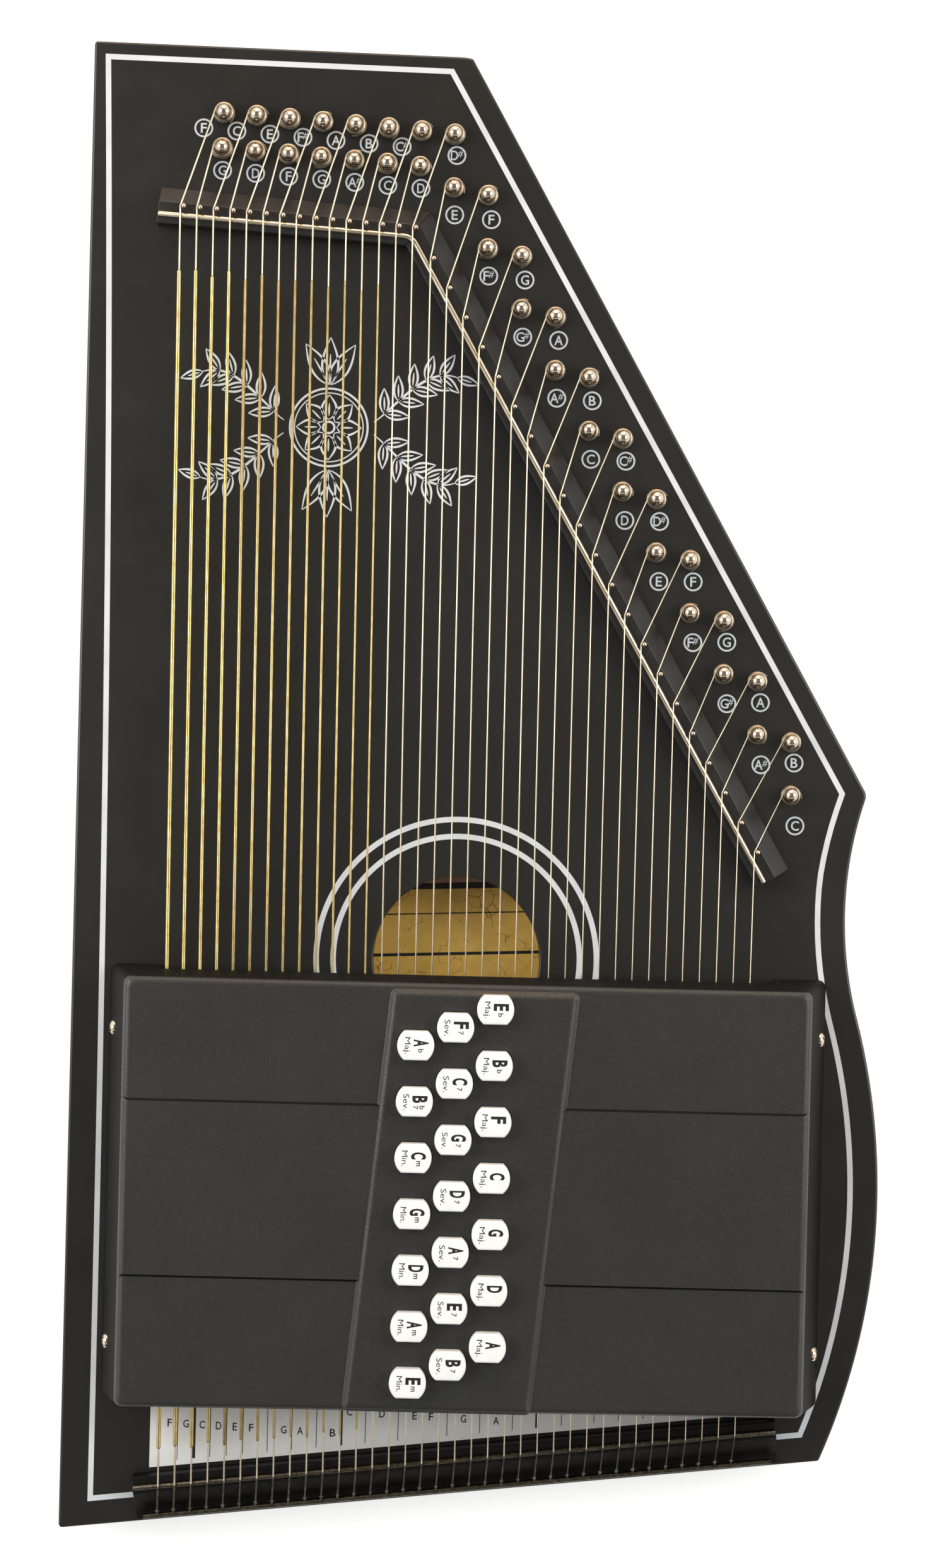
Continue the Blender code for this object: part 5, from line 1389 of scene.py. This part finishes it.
def cover_solid():
    """The outside of the cover: a tapered box, its raised middle zone and its panel."""
    base = loft([cover_ring(GAP), cover_ring(COVER_TOP / 2)]
                + [cover_ring(z, back, back)
                   for back, z in quarter(COVER_ROUND, COVER_TOP - COVER_ROUND, 6)])
    ends = (0.5 * MM, COVER_MIDDLE - STEP_HALF, COVER_MIDDLE + STEP_HALF)
    rings = [cover_ring(20 * MM, -STEP_PROUD, 0.0, *ends)]
    for back, z in quarter(COVER_ROUND, COVER_TOP + STEP_RISE - COVER_ROUND, 6):
        slope = max(z - COVER_TOP + STEP_PROUD, 0.0)
        rings.append(cover_ring(z, back - STEP_PROUD, slope, *ends))
    left = COVER_LEFT + PANEL_LEFT
    head, tail = COVER_HEAD - 2.2 * MM, COVER_TAIL - 0.2 * MM
    outline = plate_outline([(left - PANEL_SLANT, tail), (left - PANEL_SLANT + PANEL_WIDTH, tail),
                             (left + PANEL_WIDTH, head), (left, head)], PANEL_ROUND)
    steps = ((0.0, -1.2), (0.0, 0.1), (0.3, 0.25), (0.9, 0.8), (1.4, 1.22), (1.9, 1.5),
             (2.5, 1.66), (3.1, 1.7))
    panel = stacked(outline, [(a * MM, BOARD_TOP + COVER_TOP + z * MM) for a, z in steps])
    return boolean("UNION", base, loft(rings), panel)


def build_cover():
    """Moulded cover, open below, with doors for the strings and a hole for each button."""
    hollow = loft([cover_ring(height, COVER_WALL, COVER_WALL, 1.5 * MM)
                   for height in (-2 * MM, COVER_TOP - COVER_WALL)])
    doors = [box_mesh((COVER_LOW.x + DOOR_INSET, y - 6 * MM, BOARD_TOP - 1 * MM),
                      (COVER_HIGH.x - DOOR_INSET, y + 6 * MM, BOARD_TOP + DOOR_TOP))
             for y in (COVER_HIGH.y, COVER_LOW.y)]
    holes = [slab(button_shape(*button_middle(number))(-BUTTON_ROOM), BOARD_TOP + 33 * MM,
                  BOARD_TOP + 42 * MM) for number in range(BAR_COUNT)]
    mesh = boolean("DIFFERENCE", cover_solid(), hollow, joined(doors), joined(holes))
    rim = BOARD_TOP + COVER_TOP - 2.3 * MM
    for face in mesh.polygons:
        outward = face.center.x * face.normal.x + (face.center.y - COVER_LOW.y) * face.normal.y
        # Upper side roundings and panel ridges: rubbed wear, and a painted highlight in a lighter
        # colour
        if abs(face.normal.x) > 0.2 and 0.3 < face.normal.z < 0.97 and face.center.z > rim:
            face.material_index = 1
        # Outer walls and the middle zone's end steps: painted shade
        elif face.normal.z < 0.3 and outward > 0:
            face.material_index = 2
        elif abs(face.normal.y) > 0.3 and abs(face.center.y - COVER_MIDDLE) < 40 * MM:
            face.material_index = 2
    piece = piece_from("bar_cover_moulding", mesh, ["cover", "rubbed_highlit", "wall"], node="bar_cover",
                       angle=28)


def build_screws():
    """Four small pan-head screws on the skirts of the cover."""
    head = [mm(0.0, 0.0), mm(2.9, 0.0), mm(2.9, 0.5), mm(2.6, 1.1), mm(1.9, 1.55), mm(1.0, 1.8),
            mm(0.0, 1.85)]
    slot = box_mesh(mm(-0.35, -2.2, 1.1), mm(0.35, 2.2, 3.0))
    cross = box_mesh(mm(-2.2, -0.35, 1.1), mm(2.2, 0.35, 3.0))
    shape = boolean("DIFFERENCE", lathe(head, 32), slot, cross)
    lean = math.atan2(SIDE_LEAN_OUT, COVER_TOP)
    meshes = []
    for side, edge, places in ((-1, COVER_LEFT, mm(-93.1, -213.7)),
                               (1, COVER_RIGHT, mm(-91.3, -212.1))):
        for y in places:
            x = edge + side * (SIDE_LEAN_OUT * (1 - SCREW_HEIGHT / COVER_TOP) - 0.05 * MM)
            copy = shape.copy()
            copy.transform(Matrix.Translation((x, y, BOARD_TOP + SCREW_HEIGHT))
                           @ Matrix.Rotation(side * (math.pi / 2 - lean), 4, "Y")
                           @ Matrix.Rotation(y * 900, 4, "Z"))
            meshes.append(copy)
    piece_from("cover_screws", joined(meshes), "nickel")


def build_scale():
    """Note letters on the card, each beside its string, with rules halfway between them."""
    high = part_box("scale_card")[1]
    top = high.z + EPS
    meshes, before = [], FIRST_AT_TAIL[0]
    for number, note in enumerate(NOTES):
        x = string_tail_point(number)[0] + LETTER_BESIDE
        if len(note) == 2 or x > high.x - 3 * MM:
            continue
        middle, half = (before + x) / 2, (0.65 if note == "C" else 0.14) * MM
        foot = (FIRST_AT_TAIL[1] + math.tan(TAIL_SLOPE) * (middle - FIRST_AT_TAIL[0])
                + RULE_START)
        if number:
            meshes.append(slab(rectangle(middle - half, middle + half, foot, high.y - 1 * MM),
                               top - EPS, top))
        y = ROW_START[1] - ROW_FALL * (x - ROW_START[0])
        if number >= SECOND_ROW:
            y += ROW_RISE
        if y - LETTER_HEIGHT > foot:
            wide = {"E": 1.75, "F": 1.75, "A": 2.35}.get(note, 2.2) * MM
            meshes.append(text_mesh(note, wide, LETTER_HEIGHT, (x, y, top), 0.05 * MM,
                                    thick=EPS / 2))
        before = x
    piece_from("scale_print", joined(meshes), "ink")


def dress_frame():
    """Materials for the CAD nodes that are seen as they are."""
    for node, material in (("bass_bar_holder", "abs"), ("treble_bar_holder", "abs"),
                           ("scale_card", "card"), ("soundboard_brace", "spruce")):
        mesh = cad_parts[node].data
        mesh.materials.clear()
        mesh.materials.append(MATERIALS[material])


# Camera, light and floor


def seen_directly(tree):
    """One for rays from the camera, and for what metal and glass show, else zero."""
    ray = tree.nodes.new("ShaderNodeLightPath").outputs
    both = maths(tree, "MAXIMUM", ray["Is Camera Ray"], ray["Is Glossy Ray"])
    return maths(tree, "MAXIMUM", both, ray["Is Transmission Ray"])


def emptied(owner):
    """The node tree of a world or material, with nothing in it yet."""
    owner.use_nodes = True
    owner.node_tree.nodes.clear()
    return owner.node_tree


def build_camera():
    """A camera straight above."""
    camera = bpy.data.cameras.new("camera")
    camera.sensor_width = 36.0
    camera.lens = 76.84
    camera.clip_end = 20.0
    eye = new_object("camera", camera)
    eye.location = mm(-5.5, 3.85, 1333.0)
    eye.rotation_euler = (0.0, 0.0, math.radians(1.41))
    bpy.context.scene.camera = eye


def build_lamps():
    """Soft boxes at both sides, and a warm panel beyond the head."""
    for name, place, size, watts, tint in (
            ("left_soft_box", (-1.15, 0.3, 1.0), (0.9, 0.9), 13.8, "FFFFFF"),
            ("right_soft_box", (1.15, 0.3, 1.0), (0.9, 0.9), 11.6, "FFFFFF"),
            ("warm_panel", (0.0, 1.5, 0.7), (1.2, 0.9), 12.5, "FFD9B0")):
        light = bpy.data.lights.new(name, "AREA")
        light.shape = "RECTANGLE"
        light.size, light.size_y = size
        light.energy = watts
        light.color = linear(tint)[:3]
        lamp = new_object(name, light)
        lamp.location = place
        lamp.rotation_euler = (-Vector(place)).to_track_quat("-Z", "Y").to_euler()


def build_cards():
    """Cards that only show in bright metal and gloss: grey above, black beyond the tail."""
    for name, low, high, code in (
            ("grey_ceiling_card", (-1.5, -1.5, 1.9), (1.5, 1.5, 1.91), "8C8C8C"),
            ("black_tail_card", (-1.5, -1.81, 0.0), (1.5, -1.8, 1.6), "303030")):
        paint, *_ = new_material(name, Roughness=0.6, Base_Color=code)
        card = new_object(name, box_mesh(low, high))
        card.data.materials.append(paint)
        card.visible_camera = False
        card.visible_diffuse = False
        card.visible_shadow = False


def build_surround():
    """A white floor and a white surround, which lights the object less than it shows."""
    world = bpy.data.worlds.new("surround")
    tree = emptied(world)
    strength = remap(tree, seen_directly(tree), 0.0, 1.0, 0.45, 1.0)
    sky = add(tree, "ShaderNodeBackground", Color="FFFFFF", Strength=strength)
    add(tree, "ShaderNodeOutputWorld", Surface=sky.outputs[0])
    bpy.context.scene.world = world

    material = bpy.data.materials.new("white_floor")
    tree = emptied(material)
    paint = add(tree, "ShaderNodeBsdfDiffuse", Color="E9E9E7").outputs[0]
    glow = remap(tree, seen_directly(tree), 0.0, 1.0, 0.0, 0.55)
    shine = add(tree, "ShaderNodeEmission", Strength=glow).outputs[0]
    both = add(tree, "ShaderNodeAddShader", _0=paint, _1=shine).outputs[0]
    add(tree, "ShaderNodeOutputMaterial", Surface=both)
    floor = new_object("floor", slab(rectangle(-3, 3, -3, 3), -0.02, -0.0005))
    floor.data.materials.append(material)
    bpy.context.scene.view_settings.view_transform = "Standard"


for build in (build_body, build_lines, build_note_names, build_ornament, build_label,
              build_bridges, build_rods, build_guide_pins, build_strings, build_anchor,
              build_tuning_pins):
    build()
for bar_number in range(BAR_COUNT):
    build_bar(bar_number)
    build_button(bar_number)
for build in (build_cover, build_screws, build_scale, dress_frame, build_camera, build_lamps,
              build_cards, build_surround):
    build()
